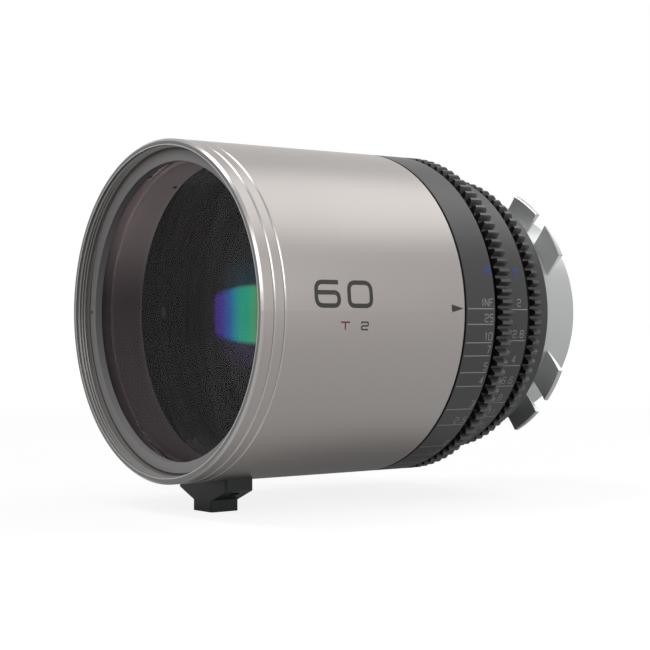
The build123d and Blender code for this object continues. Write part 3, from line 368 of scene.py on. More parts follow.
class LensMarkSettings(bpy.types.PropertyGroup):
    """Sizes and colours of the engraved marks."""

    focal_number: bpy.props.StringProperty(
        name="Focal number", description="Large number on the barrel", default="60")
    stop_number: bpy.props.StringProperty(
        name="Widest stop", description="Number beside the letter T", default="2")
    number_height: bpy.props.FloatProperty(
        name="Number height", description="Height of the large number's strokes, centre to centre",
        min=0.5 * MM, default=5.2 * MM, **LENGTH)
    number_width: bpy.props.FloatProperty(
        name="Digit width", description="Width of a large digit, centre to centre",
        min=0.5 * MM, default=6.35 * MM, **LENGTH)
    number_stroke: bpy.props.FloatProperty(
        name="Number stroke", description="Width of the large number's strokes",
        min=0.1 * MM, default=1.02 * MM, **LENGTH)
    label_height: bpy.props.FloatProperty(
        name="Label height", description="Height of the small labels",
        min=0.3 * MM, default=1.75 * MM, **LENGTH)
    label_width: bpy.props.FloatProperty(
        name="Label width", description="Width of a small character",
        min=0.3 * MM, default=1.05 * MM, **LENGTH)
    label_stroke: bpy.props.FloatProperty(
        name="Label stroke", description="Width of the small labels' strokes",
        min=0.1 * MM, default=0.22 * MM, **LENGTH)
    line_width: bpy.props.FloatProperty(
        name="Line width", description="Width of the scale lines",
        min=0.1 * MM, default=0.26 * MM, **LENGTH)
    paint_height: bpy.props.FloatProperty(
        name="Paint height", description="Height of the paint over the metal",
        min=0.001 * MM, default=0.003 * MM, **LENGTH)
    dark_paint: bpy.props.FloatVectorProperty(
        name="Dark paint", description="Paint of the number and the index",
        default=(0.034, 0.031, 0.028), **COLOUR)
    red_paint: bpy.props.FloatVectorProperty(
        name="Red paint", description="Paint of the letter T on the barrel",
        default=(0.14, 0.02, 0.03), **COLOUR)
    blue_paint: bpy.props.FloatVectorProperty(
        name="Blue paint", description="Paint of the scale letters", default=(0.02, 0.06, 0.30), **COLOUR)
    pale_paint: bpy.props.FloatVectorProperty(
        name="Pale paint", description="Paint of the scale lines and labels",
        default=(0.27, 0.27, 0.26), **COLOUR)


class LensThreadSettings(bpy.types.PropertyGroup):
    """Size of the front accessory thread."""

    pitch: bpy.props.FloatProperty(
        name="Pitch", description="Pitch of the front thread",
        min=0.2 * MM, default=0.75 * MM, **LENGTH)
    depth: bpy.props.FloatProperty(
        name="Depth", description="Height of the thread's ridge",
        min=0.1 * MM, default=0.34 * MM, **LENGTH)


class LensStageSettings(bpy.types.PropertyGroup):
    """The studio round the lens."""

    sky_level: bpy.props.FloatProperty(
        name="Sky level", description="Strength of the soft light from all round",
        min=0, max=4, default=0.22)
    rear_power: bpy.props.FloatProperty(
        name="Rear box", description="Power of the soft box above and behind", default=1.15, **POWER)
    top_power: bpy.props.FloatProperty(
        name="Top box", description="Power of the soft box above the front", default=1.35, **POWER)
    side_power: bpy.props.FloatProperty(
        name="Side box", description="Power of the soft box beside the scales", default=2.15, **POWER)
    fill_power: bpy.props.FloatProperty(
        name="Fill box", description="Power of the soft box before the front glass", default=1.8, **POWER)
    focal_length: bpy.props.FloatProperty(
        name="Camera lens", description="Focal length of the camera in millimetres",
        unit="CAMERA", min=10, default=92.0)


# Shapes

def rounded_path(corners, corner_radius, steps=6):
    """Points along straight runs between corners, with each corner rounded by a curve.

    The curve leaves the runs at radius times tan(half the turn) from the corner, and that
    distance is held under half of either run. Long runs are divided, so that they follow the
    cylinder they are laid on.
    """
    corners = [np.array(corner, float) for corner in corners]
    closed = len(corners) > 2 and np.allclose(corners[0], corners[-1])
    path = [corners[0]]
    for before, corner, after in zip(corners, corners[1:], corners[2:]):
        into, out = corner - before, after - corner
        run_in, run_out = np.linalg.norm(into), np.linalg.norm(out)
        into, out = into / run_in, out / run_out
        turn = math.acos(float(np.clip(into @ out, -1, 1)))
        if turn < LEAST_TURN or corner_radius <= 0:
            path.append(corner)
            continue
        reach = min(corner_radius * math.tan(turn / 2), RUN_SHARE * run_in, RUN_SHARE * run_out)
        start, end = corner - into * reach, corner + out * reach
        share = np.linspace(0, 1, steps + 1)[:, None]
        blend = (1 - share) ** 2 * start + 2 * share * (1 - share) * corner + share ** 2 * end
        path.extend(blend)
    path.append(corners[-1])
    path = np.array(path)
    runs = np.linalg.norm(np.diff(path, axis=0), axis=1)
    parts = np.maximum(np.ceil(runs / LONGEST_RUN), 1).astype(int)
    places = np.repeat(np.arange(len(runs)), parts)
    shares = np.concatenate([np.arange(count) / count for count in parts])[:, None]
    divided = path[places] * (1 - shares) + path[places + 1] * shares
    return np.vstack([divided, path[-1:]]), closed


def stroke_sides(path, width, closed):
    """The two sides of a stroke, half its width off its path, mitred at each point."""
    if closed:
        path = path[:-1]
        ahead = np.roll(path, -1, 0) - path
        behind = path - np.roll(path, 1, 0)
    else:
        ahead = np.vstack([path[1:] - path[:-1], path[-1:] - path[-2:-1]])
        behind = np.vstack([path[1:2] - path[:1], path[1:] - path[:-1]])
    ahead /= np.linalg.norm(ahead, axis=1)[:, None]
    behind /= np.linalg.norm(behind, axis=1)[:, None]
    along = ahead + behind
    along /= np.linalg.norm(along, axis=1)[:, None]
    normal = np.stack([-along[:, 1], along[:, 0]], 1)
    mitre = np.clip((normal * np.stack([-ahead[:, 1], ahead[:, 0]], 1)).sum(1), LEAST_MITRE, 1)
    offset = normal * (width / 2 / mitre)[:, None]
    return path + offset, path - offset


def wrap(points, radius, angle, station):
    """Flat marks laid round a cylinder: across runs along +Y, and up runs back round the axis.

    The place is (r cos a, y, -r sin a), with y the station plus the across distance and a the
    mark's angle less the up distance divided by the radius.
    """
    turn = math.radians(angle) - points[:, 1] / radius
    return np.stack([radius * np.cos(turn), station + points[:, 0], -radius * np.sin(turn)], 1)


class MarkMesh:
    """Collects closed strokes of paint on a cylinder, each a low wall from inside the metal."""

    def __init__(self, radius, height):
        self.radius, self.top, self.foot = radius, radius + height, radius - PAINT_FOOT
        self.vertices, self.faces, self.count = [], [], 0

    def add_strip(self, left, right, closed, angle, station):
        """A strip between two lines of points, given as a closed prism."""
        lines = [wrap(side, radius, angle, station)
                 for radius in (self.top, self.foot) for side in (left, right)]
        size = len(left)
        here = np.arange(size if closed else size - 1)
        after = (here + 1) % size
        # The lines in their order round the section: top left, top right, foot right, foot left.
        corners = self.count + size * np.array([0, 1, 3, 2])
        sides = zip(corners, np.roll(corners, -1))
        quads = [np.stack([a + here, b + here, b + after, a + after], 1) for a, b in sides]
        if not closed:
            quads.append(np.array([corners[::-1], corners + size - 1]))
        self.vertices.extend(lines)
        self.faces.extend(quads)
        self.count += 4 * size

    def add_stroke(self, corners, width, corner_radius, angle, station):
        """A stroke of paint along rounded corners."""
        path, closed = rounded_path(corners, corner_radius)
        left, right = stroke_sides(path, width, closed)
        self.add_strip(left, right, closed, angle, station)

    def add_text(self, text, angle, station, cell, stroke, align="LEFT"):
        """Characters in a row. A cell is (width, height), from stroke centre to centre."""
        width, height = cell
        gap = GAP_SHARE * width + stroke
        widths = [width * NARROW_SHARES.get(character, 1.0) for character in text]
        whole = sum(widths) + gap * (len(text) - 1)
        start = {"LEFT": 0.0, "RIGHT": -whole, "CENTRE": -whole / 2}[align]
        for character, narrow in zip(text, widths):
            corner_radius = 0.0 if character in SHARP_GLYPHS else CORNER_SHARE * width
            for shares in GLYPH_STROKES[character]:
                corners = [(start + narrow * across, height * up) for across, up in shares]
                self.add_stroke(corners, stroke, corner_radius, angle, station)
            start += narrow + gap

    def add_scale(self, entries, ends, label_place, lift, align, marks):
        """A line along the axis for each entry, with its label a little way round the band."""
        cell = (marks.label_width, marks.label_height)
        for label, behind in entries:
            angle = INDEX_ANGLE + behind
            self.add_stroke([(0, 0), (ends[1] - ends[0], 0)], marks.line_width, 0, angle, ends[0])
            lifted = angle - math.degrees(lift / self.radius)
            self.add_text(label, lifted, label_place, cell, marks.label_stroke, align)

    def build(self, name, material, body):
        """The marks as one piece that rides on a body."""
        faces = np.vstack(self.faces).tolist()
        new_piece(name, np.vstack(self.vertices), faces, [material], body)


def new_piece(name, vertices, faces, materials, body):
    """A flat-shaded mesh object at the origin that rides on a CAD body."""
    mesh = bpy.data.meshes.new(name)
    mesh.from_pydata(vertices.tolist(), [], faces)
    mesh.validate()
    for material in materials:
        mesh.materials.append(material)
    piece = bpy.data.objects.new(name, mesh)
    bpy.context.scene.collection.objects.link(piece)
    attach(piece, body)
    return piece


def helical_ridge(radius, depth, pitch, start, turns, steps=180, profile_share=0.8):
    """Vertices and faces of a thread ridge on the inside of a bore, closed at both ends.

    At angle t the ridge's centre is at y = start + pitch t / 2 pi. Its section is a triangle
    with its foot in the bore's wall, and it fades out over the first and last quarter turn.
    """
    t = np.linspace(0, 2 * math.pi * turns, int(steps * turns) + 1)
    fade = np.clip(np.minimum(t, t[-1] - t) / (math.pi / 2), THREAD_LEAST, 1)
    half = profile_share * pitch / 2
    foot = radius + THREAD_SINK * depth
    lines = []
    for section_radius, offset in ((foot, -half), (radius - depth, 0.0), (foot, half)):
        r = foot + (section_radius - foot) * fade
        y = start + pitch * t / (2 * math.pi) + offset
        lines.append(np.stack([r * np.cos(t), y, -r * np.sin(t)], 1))
    vertices = np.stack(lines, 1).reshape(-1, 3)
    here = 3 * np.arange(len(t) - 1)
    quads = [np.stack([here + a, here + 3 + a, here + 3 + b, here + b], 1)
             for a, b in ((1, 0), (2, 1), (0, 2))]
    last = 3 * (len(t) - 1)
    return vertices, np.vstack(quads).tolist() + [[2, 1, 0], [last, last + 1, last + 2]]


def glass_disc(node, curve, clearance=0.04 * MM, bevel=0.3 * MM, rings=24, steps=128):
    """A round glass whose front is an upright cylinder and whose back is flat, in its node's place.

    At distance r from the axis and angle t the front is at y = crown + (x / radius)^2 times the
    curve, with x = r cos t, and the back at the node's rear. Both edges are bevelled, and the glass
    stands a hair clear of what holds it. The front's faces come first, and their number is given.
    """
    low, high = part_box(node)
    radius, rear = high.x - clearance, high.y - clearance
    crown = low.y + clearance + max(-curve, 0)
    t = np.linspace(0, 2 * math.pi, steps, endpoint=False)
    inner = (radius - bevel) * np.sqrt(np.linspace(0, 1, rings + 1)[1:])
    front = [(r, crown + (r * np.cos(t) / radius) ** 2 * curve) for r in inner]
    edge = crown + np.cos(t) ** 2 * curve
    side = [(radius, edge + bevel), (radius, np.full(steps, rear - bevel))]
    back = [(r, np.full(steps, rear)) for r in inner[::-1]]
    loops = [np.stack([r * np.cos(t), y, -r * np.sin(t)], 1) for r, y in front + side + back]
    vertices = np.vstack([[(0, crown, 0)], *loops, [(0, rear, 0)]])
    here = np.arange(steps)
    after = np.roll(here, -1)
    start = 1 + steps * np.arange(len(loops) - 1)[:, None]
    quads = np.stack([start + here, start + after, start + steps + after, start + steps + here], -1)
    last = 1 + steps * (len(loops) - 1)
    front_fan = np.stack([np.zeros(steps, int), after + 1, here + 1], 1)
    back_fan = np.stack([np.full(steps, last + steps), last + here, last + after], 1)
    faces = front_fan.tolist() + quads.reshape(-1, 4).tolist() + back_fan.tolist()
    return vertices, faces, steps * rings


# Shader nodes

def feed(tree, node, sources):
    """Feeds a node's inputs, given by name or place, from sockets or with plain values."""
    for key, source in sources.items():
        if isinstance(source, bpy.types.NodeSocket):
            tree.links.new(source, node.inputs[key])
        else:
            node.inputs[key].default_value = source


def add(tree, kind, sources, **properties):
    """A new node with its properties set and its inputs fed."""
    node = tree.nodes.new(kind)
    for name, value in properties.items():
        setattr(node, name, value)
    feed(tree, node, sources)
    return node


def maths(tree, operation, *values, clamp=False):
    """The result of a Math node on sockets or numbers."""
    node = add(tree, "ShaderNodeMath", dict(enumerate(values)), operation=operation, use_clamp=clamp)
    return node.outputs[0]


def product(tree, first, *others):
    """The product of sockets or numbers."""
    for other in others:
        first = maths(tree, "MULTIPLY", first, other)
    return first


def inverse(tree, value):
    """One less the value."""
    return maths(tree, "SUBTRACT", 1.0, value)


def vector_maths(tree, operation, *values):
    """The result of a Vector Math node on sockets or triples."""
    node = add(tree, "ShaderNodeVectorMath", dict(enumerate(values)), operation=operation)
    return node.outputs["Value" if operation == "LENGTH" else "Vector"]


def scaled(tree, colour, level):
    """A colour times a level."""
    node = add(tree, "ShaderNodeVectorMath", {0: colour, "Scale": level}, operation="SCALE")
    return node.outputs["Vector"]


def noise(tree, sources, dimensions="3D"):
    """The level of a Noise Texture."""
    return add(tree, "ShaderNodeTexNoise", sources, noise_dimensions=dimensions).outputs["Fac"]


def object_place(tree):
    """The place in Object coordinates."""
    return add(tree, "ShaderNodeTexCoord", {}).outputs["Object"]


def place_parts(tree):
    """The three Object coordinates by themselves."""
    return add(tree, "ShaderNodeSeparateXYZ", {0: object_place(tree)}).outputs


def axis_distance(tree):
    """The distance from the optical axis and the place along it."""
    parts = place_parts(tree)
    across = product(tree, parts["X"], parts["X"])
    upright = product(tree, parts["Z"], parts["Z"])
    return maths(tree, "SQRT", maths(tree, "ADD", across, upright)), parts["Y"]


def smooth_step(tree, value, full, gone):
    """1 up to the first bound, and from there smoothly down to 0 at the second."""
    sources = {0: value, 1: full, 2: gone, 3: 1.0, 4: 0.0}
    return add(tree, "ShaderNodeMapRange", sources, interpolation_type="SMOOTHSTEP").outputs[0]


def colour_ramp(tree, share, stops):
    """A colour ramp through (position, colour) stops."""
    ramp = add(tree, "ShaderNodeValToRGB", {0: share})
    elements = ramp.color_ramp.elements
    for element, (position, colour) in zip(elements, (stops[0], stops[-1])):
        element.position, element.color = position, (*colour, 1)
    for position, colour in stops[1:-1]:
        elements.new(position).color = (*colour, 1)
    return ramp.outputs["Color"]


def mix(tree, kind, mask, below, above):
    """The value below where a mask is 0, and the value above where it is 1."""
    first, second, result = {"RGBA": (6, 7, 2), "FLOAT": (2, 3, 0)}[kind]
    node = add(tree, "ShaderNodeMix", {0: mask, first: below, second: above}, data_type=kind)
    return node.outputs[result]


def bump(tree, height, strength, distance, below=None):
    """The normal of a Bump node, laid on another normal where one is given."""
    node = add(tree, "ShaderNodeBump", {"Height": height, "Strength": strength, "Distance": distance})
    if below is not None:
        feed(tree, node, {"Normal": below})
    return node.outputs["Normal"]


def new_group(name, inputs, outputs):
    """A shader group with its sockets. A socket that is called Colour carries a colour."""
    tree = bpy.data.node_groups.new(name, "ShaderNodeTree")
    kinds = {"Colour": "NodeSocketColor"}
    for socket, default in inputs.items():
        kind = kinds.get(socket, "NodeSocketFloat")
        tree.interface.new_socket(socket, in_out="INPUT", socket_type=kind).default_value = default
    for socket in outputs:
        tree.interface.new_socket(socket, in_out="OUTPUT", socket_type=kinds.get(socket, "NodeSocketFloat"))
    return tree, tree.nodes.new("NodeGroupInput").outputs, tree.nodes.new("NodeGroupOutput")


def place_group(tree, name, maker, sources):
    """The outputs of a shared group, which is built once, fed with a material's own values."""
    group = bpy.data.node_groups.get(name) or maker(name)
    return add(tree, "ShaderNodeGroup", sources, node_tree=group).outputs


# Effects that materials share

def blasted_metal(name):
    """Fine blasted grain with slow handling marks: colour, roughness and height."""
    tree, given, out = new_group(
        name,
        {"Colour": (0.5, 0.5, 0.5, 1), "Grain Size": 0.3 * MM, "Tint Change": 0.05, "Roughness": 0.4,
         "Roughness Change": 0.06},
        ("Colour", "Roughness", "Height"))
    place = object_place(tree)
    frequency = maths(tree, "DIVIDE", 1.0, given["Grain Size"])
    grain = noise(tree, {"Vector": place, "Scale": frequency, "Detail": 3})
    handling = noise(tree, {"Vector": place, "Scale": HANDLING_PATCHES, "Detail": 4})
    slow = maths(tree, "SUBTRACT", handling, 0.5)
    mixed = maths(tree, "ADD", maths(tree, "SUBTRACT", grain, 0.5), slow)
    bright = maths(tree, "ADD", product(tree, mixed, given["Tint Change"]), 1.0)
    uneven = product(tree, slow, given["Roughness Change"])
    rough = maths(tree, "ADD", uneven, given["Roughness"], clamp=True)
    feed(tree, out, {"Colour": scaled(tree, given["Colour"], bright), "Roughness": rough, "Height": grain})
    return tree


def turned_marks(name):
    """Lathe marks round the optical axis: a height from the distance off it and along it."""
    tree, given, out = new_group(name, {"Pitch": 0.4 * MM, "Wobble": 0.3}, ("Height",))
    radius, along = axis_distance(tree)
    turns = maths(tree, "DIVIDE", maths(tree, "ADD", radius, along), given["Pitch"])
    lines = noise(tree, {"W": turns, "Scale": 1, "Detail": 2}, dimensions="1D")
    patches = noise(tree, {"Vector": object_place(tree), "Scale": TURNED_PATCHES})
    fade = product(tree, patches, given["Wobble"])
    feed(tree, out, {"Height": product(tree, lines, inverse(tree, fade))})
    return tree


def rim_zones(name):
    """Masks of the front block: its flat face and the face's inner edge, which gets a painted highlight,
    the thread's bore, and the cut chamfers and flanks.

    The face is what lies within a hair of the front, the bore what lies nearer the axis than the
    thread's wall, the edge where the face meets the bore, and a cut edge any other place that is
    off the outer radius.
    """
    tree, given, out = new_group(
        name, {"Front": -0.1, "Bore Radius": 0.0386, "Outer Radius": 0.04},
        ("Face", "Bore", "Cut", "Edge"))
    radius, along = axis_distance(tree)
    depth = maths(tree, "SUBTRACT", along, given["Front"])
    rim = maths(tree, "SUBTRACT", radius, given["Bore Radius"])
    inset = maths(tree, "SUBTRACT", given["Outer Radius"], radius)
    face = maths(tree, "LESS_THAN", depth, FACE_DEPTH)
    off_face = inverse(tree, face)
    edge = maths(tree, "LESS_THAN", maths(tree, "ADD", rim, depth), INNER_EDGE_WIDTH)
    bore = product(tree, maths(tree, "LESS_THAN", radius, given["Bore Radius"]), off_face)
    cut = product(tree, maths(tree, "GREATER_THAN", inset, CUT_DEPTH), off_face, inverse(tree, bore))
    feed(tree, out, {"Face": face, "Bore": bore, "Cut": cut, "Edge": product(tree, edge, face)})
    return tree


def tooth_wear(name):
    """A mask that rises from the foot of the gear teeth to their tips, for painted shade in the gaps, and
    one of the groove before the teeth with their front faces, for black painted shade there."""
    tree, given, out = new_group(
        name, {"Tip Radius": 0.04, "Depth": 1.5 * MM, "Teeth Front": 0.0}, ("Mask", "Relief"))
    radius, along = axis_distance(tree)
    ahead = maths(tree, "SUBTRACT", along, given["Teeth Front"])
    inset = maths(tree, "SUBTRACT", given["Tip Radius"], radius)
    share = maths(tree, "DIVIDE", inset, given["Depth"], clamp=True)
    feed(tree, out, {"Mask": maths(tree, "POWER", inverse(tree, share), 2.0),
                     "Relief": maths(tree, "LESS_THAN", ahead, TEETH_FACE_DEPTH)})
    return tree


def coating_band(name):
    """Colour of the coating's painted reflection, which the glass emits: violet, blue, cyan, green and
    yellow across the glass.

    The share is 0 at the band's left side and 1 at its right, and the rise is the height over its
    middle, as a part of its half height. The reach is rise^2 + slant (1 - share)^2, so that the
    band gets lower towards the left, and it fades as the reach passes its ends. A faint glow,
    blue-green above and violet below, goes on to a rise of 2. It fades towards the left. Both fade
    past the right side and stop at the left side.
    """
    tree, given, out = new_group(
        name, {"Centre": 6 * MM, "Width": 18 * MM, "Middle": -1.5 * MM, "Height": 7.5 * MM}, ("Colour",))
    parts = place_parts(tree)
    offset = maths(tree, "SUBTRACT", parts["X"], given["Centre"])
    share = maths(tree, "ADD", maths(tree, "DIVIDE", offset, given["Width"]), 0.5)
    above = maths(tree, "SUBTRACT", parts["Z"], given["Middle"])
    rise = maths(tree, "DIVIDE", above, given["Height"])
    upright = maths(tree, "ADD", product(tree, rise, 0.25), 0.5)
    lead = maths(tree, "POWER", maths(tree, "SUBTRACT", 1.0, share, clamp=True), 2.0)
    reach = maths(tree, "ADD", product(tree, rise, rise), product(tree, lead, BAND_SLANT))
    band = scaled(tree, colour_ramp(tree, share, BAND_COLOURS), smooth_step(tree, reach, *BAND_ENDS))
    glow = scaled(tree, colour_ramp(tree, upright, GLOW_COLOURS), smooth_step(tree, share, *GLOW_LEFT))
    right = smooth_step(tree, share, *RIGHT_SIDE)
    sides = product(tree, right, maths(tree, "GREATER_THAN", share, 0.0))
    feed(tree, out, {"Colour": scaled(tree, vector_maths(tree, "ADD", band, glow), sides)})
    return tree


# Materials

def new_material(name):
    """A material with its tree and its Principled shader."""
    material = bpy.data.materials.new(name)
    material.use_nodes = True
    return material, material.node_tree, material.node_tree.nodes["Principled BSDF"]


def metal_material(name, finish, colour, roughness, metallic=0.0, specular=0.5, tint_change=0.06,
                   grain_height=0.012 * MM, turned_height=0.0):
    """Blasted metal, with lathe marks where it has a turned height."""
    material, tree, shader = new_material(name)
    blasted = place_group(tree, "blasted_metal", blasted_metal, {
        "Colour": (*colour, 1), "Grain Size": finish.grain_size, "Tint Change": tint_change,
        "Roughness": roughness})
    normal = bump(tree, blasted["Height"], GRAIN_STRENGTH, grain_height)
    if turned_height:
        turned = place_group(tree, "turned_marks", turned_marks, {"Pitch": finish.tooling_pitch})
        normal = bump(tree, turned["Height"], TURNED_STRENGTH, turned_height, normal)
    feed(tree, shader, {
        "Base Color": blasted["Colour"], "Roughness": blasted["Roughness"], "Metallic": metallic,
        "Specular IOR Level": specular, "Normal": normal})
    return material


def lay_over(material, mask, colour, **levels):
    """Lays a colour, and levels such as Roughness or Metallic, over a metal's own where a mask is 1."""
    tree = material.node_tree
    shader = tree.nodes["Principled BSDF"]
    below = shader.inputs["Base Color"].links[0].from_socket
    feed(tree, shader, {"Base Color": mix(tree, "RGBA", mask, below, (*colour, 1))})
    for name, level in levels.items():
        socket = shader.inputs[name]
        below = socket.links[0].from_socket if socket.links else socket.default_value
        feed(tree, shader, {name: mix(tree, "FLOAT", mask, below, level)})


def barrel_metal(finish):
    """Satin metal with bright-cut chamfers and flanks, a dark front face, a dark thread and a painted
    highlight on the front face's inner edge.
    """
    material = metal_material(
        "satin_barrel", finish, finish.barrel_colour, finish.barrel_roughness, metallic=0.5,
        tint_change=0.03, grain_height=0.01 * MM, turned_height=0.006 * MM)
    zones = place_group(material.node_tree, "rim_zones", rim_zones, {
        "Front": FRONT_RIM, "Bore Radius": THREAD_RADIUS + THREAD_WALL_MARGIN,
        "Outer Radius": BARREL_RADIUS})
    lay_over(material, zones["Cut"], finish.cut_colour, Roughness=0.25, Metallic=1.0)
    lay_over(material, zones["Bore"], finish.thread_colour, Metallic=0.0)
    lay_over(material, zones["Face"], finish.face_colour, Metallic=0.0)
    # Painted highlight: a near-white line round the inner edge of the front face.
    lay_over(material, zones["Edge"], finish.edge_highlight_colour, Roughness=0.3)
    return material


def thread_metal(finish):
    """Dark metal of the front thread's ridge."""
    return metal_material("thread_metal", finish, finish.thread_colour, roughness=0.35,
                          metallic=0.3, specular=0.2, tint_change=0.1)


def band_metal(finish):
    """Dark anodised metal with lathe marks."""
    return metal_material("anodised_band", finish, finish.band_colour, roughness=0.42,
                          metallic=0.2, specular=0.25, tint_change=0.08, turned_height=0.004 * MM)


def gear_metal(finish, node):
    """Anodised metal with painted shade: dark in the gaps below a gear's tips and black in the groove
    before them.
    """
    material = metal_material(node + "_metal", finish, finish.gear_colour, roughness=0.4,
                              metallic=0.2, specular=0.25, tint_change=0.15)
    tree = material.node_tree
    low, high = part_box(node)
    shade_masks = place_group(tree, "tooth_wear", tooth_wear, {
        "Tip Radius": high.x, "Depth": TOOTH_DEPTH, "Teeth Front": low.y + GEAR_RELIEF})
    # Painted shade: darker towards the foot of the teeth, and near-black in the groove before them and on
    # the teeth's front faces.
    lay_over(material, inverse(tree, shade_masks["Mask"]), finish.gap_shade_colour)
    lay_over(material, shade_masks["Relief"], finish.relief_shade_colour, Roughness=0.8)
    return material


def mount_metal(finish):
    """Hard chrome, paler on the mount's lugs and bright-cut round them."""
    material = metal_material("chromed_mount", finish, finish.mount_colour, roughness=0.33,
                              metallic=0.6, tint_change=0.05, turned_height=0.008 * MM)
    tree = material.node_tree
    radius, _ = axis_distance(tree)
    lugs = maths(tree, "GREATER_THAN", radius, SPIGOT_RADIUS + LUG_FOOT)
    edges = maths(tree, "GREATER_THAN", radius, LUG_RADIUS - LUG_EDGE_WIDTH)
    lay_over(material, lugs, finish.lug_colour)
    lay_over(material, edges, finish.lug_edge_colour, Roughness=0.3, Metallic=0.9)
    return material


def foot_paint(finish):
    """Black paint with a coarse grain."""
    return metal_material("painted_foot", finish, finish.foot_colour, roughness=0.4,
                          specular=0.25, tint_change=0.15, grain_height=0.02 * MM)


def cell_metal(finish):
    """Metal that gets darker from its top down to the axis's height, in painted shade, and is black from
    the second glass on and in the hole of the wall before it."""
    material = metal_material("dark_cell", finish, finish.inner_colour, roughness=0.5,
                              specular=0.15, tint_change=0.12, turned_height=0.01 * MM)
    tree = material.node_tree
    # Painted shade: the cell gets darker from the second height down to the first, for shade on its lower
    # part.
    low = smooth_step(tree, place_parts(tree)["Z"], *CELL_SHADE_HEIGHTS)
    radius, along = axis_distance(tree)
    deep = maths(tree, "GREATER_THAN", along, DEEP_GLASS_FRONT)
    hole = product(tree, maths(tree, "GREATER_THAN", radius, SPACER_BORE + HOLE_MARGIN),
                   maths(tree, "GREATER_THAN", along, SPACER_FRONT + HOLE_DEPTH))
    lay_over(material, low, finish.inner_shade_colour)
    lay_over(material, deep, finish.black_colour)
    lay_over(material, hole, finish.black_colour)
    return material


def retaining_ring_metal(finish):
    """Grey metal with lathe marks."""
    return metal_material("ring_metal", finish, finish.ring_colour, roughness=0.45, metallic=0.1,
                          specular=0.2, tint_change=0.08, turned_height=0.01 * MM)


def blackened_metal(finish):
    """Matt black metal that keeps stray light away."""
    return metal_material("blackened_metal", finish, finish.black_colour, roughness=0.7,
                          specular=0.05, tint_change=0.25)


def screw_metal(finish):
    """Black oxide steel."""
    return metal_material("black_screw", finish, finish.screw_colour, roughness=0.35,
                          metallic=0.6, tint_change=0.2)


def bearing_bronze(finish):
    """Bare bronze."""
    return metal_material("bearing_bronze", finish, finish.bronze_colour, roughness=0.3,
                          metallic=1.0, tint_change=0.15)


def blade_steel(finish):
    """Thin blackened steel, rubbed by its neighbours."""
    return metal_material("blade_steel", finish, finish.blade_colour, roughness=0.35,
                          metallic=0.6, tint_change=0.3)


def paint_material(name, colour, finish):
    """Matt engraving paint, with a faint unevenness."""
    return metal_material(name, finish, colour, roughness=0.55, specular=0.3, tint_change=0.12,
                          grain_height=0.006 * MM)


def glass_material(name, glass, band=False):
    """Clear coated glass. If asked, the coating's reflection is painted on its outer side as an emitted
    coloured band.
    """
    material, tree, shader = new_material(name)
    feed(tree, shader, {
        "Base Color": (*glass.glass_tint, 1), "Roughness": 0.0, "Metallic": 0.0, "IOR": glass.refraction,
        "Transmission Weight": 1.0, "Specular IOR Level": glass.coating_level})
    if band:
        colours = place_group(tree, "coating_band", coating_band, {
            "Centre": glass.flare_centre, "Width": glass.flare_width,
            "Middle": glass.flare_middle, "Height": glass.flare_height})
        # Painted reflection: the glass's outer side emits the coating's coloured band.
        outside = inverse(tree, add(tree, "ShaderNodeNewGeometry", {}).outputs["Backfacing"])
        glow = scaled(tree, colours["Colour"], outside)
        feed(tree, shader, {"Emission Color": glow, "Emission Strength": 1.0})
    return material


def dress(material, *names):
    """Gives CAD nodes a material."""
    for name in names:
        mesh = NODES[name].data
        mesh.materials.clear()
        mesh.materials.append(material)


# Operators: one for each group of pieces

class LENS_OT_metal_finishes(bpy.types.Operator):
    """Finish the barrel, the rings, the gears, the mount and the foot"""

    bl_idname = "lens.metal_finishes"
    bl_label = "Finish the outer metal"

    def execute(self, context):
        finish = context.scene.lens_finish
        dress(barrel_metal(finish), "front_ring", "barrel_sleeve")
        dress(band_metal(finish), "focus_scale_ring", "iris_scale_ring", "rear_ring")
        for node in ("focus_gear_ring", "iris_gear_ring"):
            dress(gear_metal(finish, node), node)
        dress(mount_metal(finish), "lens_mount", "mount_shim")
        dress(foot_paint(finish), "support_foot")
        dress(cell_metal(finish), "front_cell", "front_spacer")
        dress(retaining_ring_metal(finish), "front_retaining_ring")
        return {"FINISHED"}


class LENS_OT_inner_finishes(bpy.types.Operator):
    """Blacken the inside and finish the screws, the rollers and the blades"""

    bl_idname = "lens.inner_finishes"
    bl_label = "Finish the mechanism"

    def execute(self, context):
        finish = context.scene.lens_finish
        dress(blackened_metal(finish), "main_housing", "anamorphic_cell", "anamorphic_retaining_ring",
              "cam_tube", "focus_cell", "focus_spacer", "focus_retaining_ring", "iris_base_plate",
              "iris_cover_plate", "iris_retaining_ring", "rear_cell", "rear_spacer",
              "rear_retaining_ring")
        dress(screw_metal(finish), "front_cell_screws", "alignment_screws", "focus_ring_keys",
              "focus_stop_pin", "follower_screws", "iris_ring_screws", "iris_drive_pin",
              "rear_cell_screws", "mount_screws", "foot_screws")
        dress(bearing_bronze(finish), "follower_rollers", "iris_drive_ring")
        dress(blade_steel(finish), *[name for name in NODES if name.startswith("iris_blade_")])
        return {"FINISHED"}


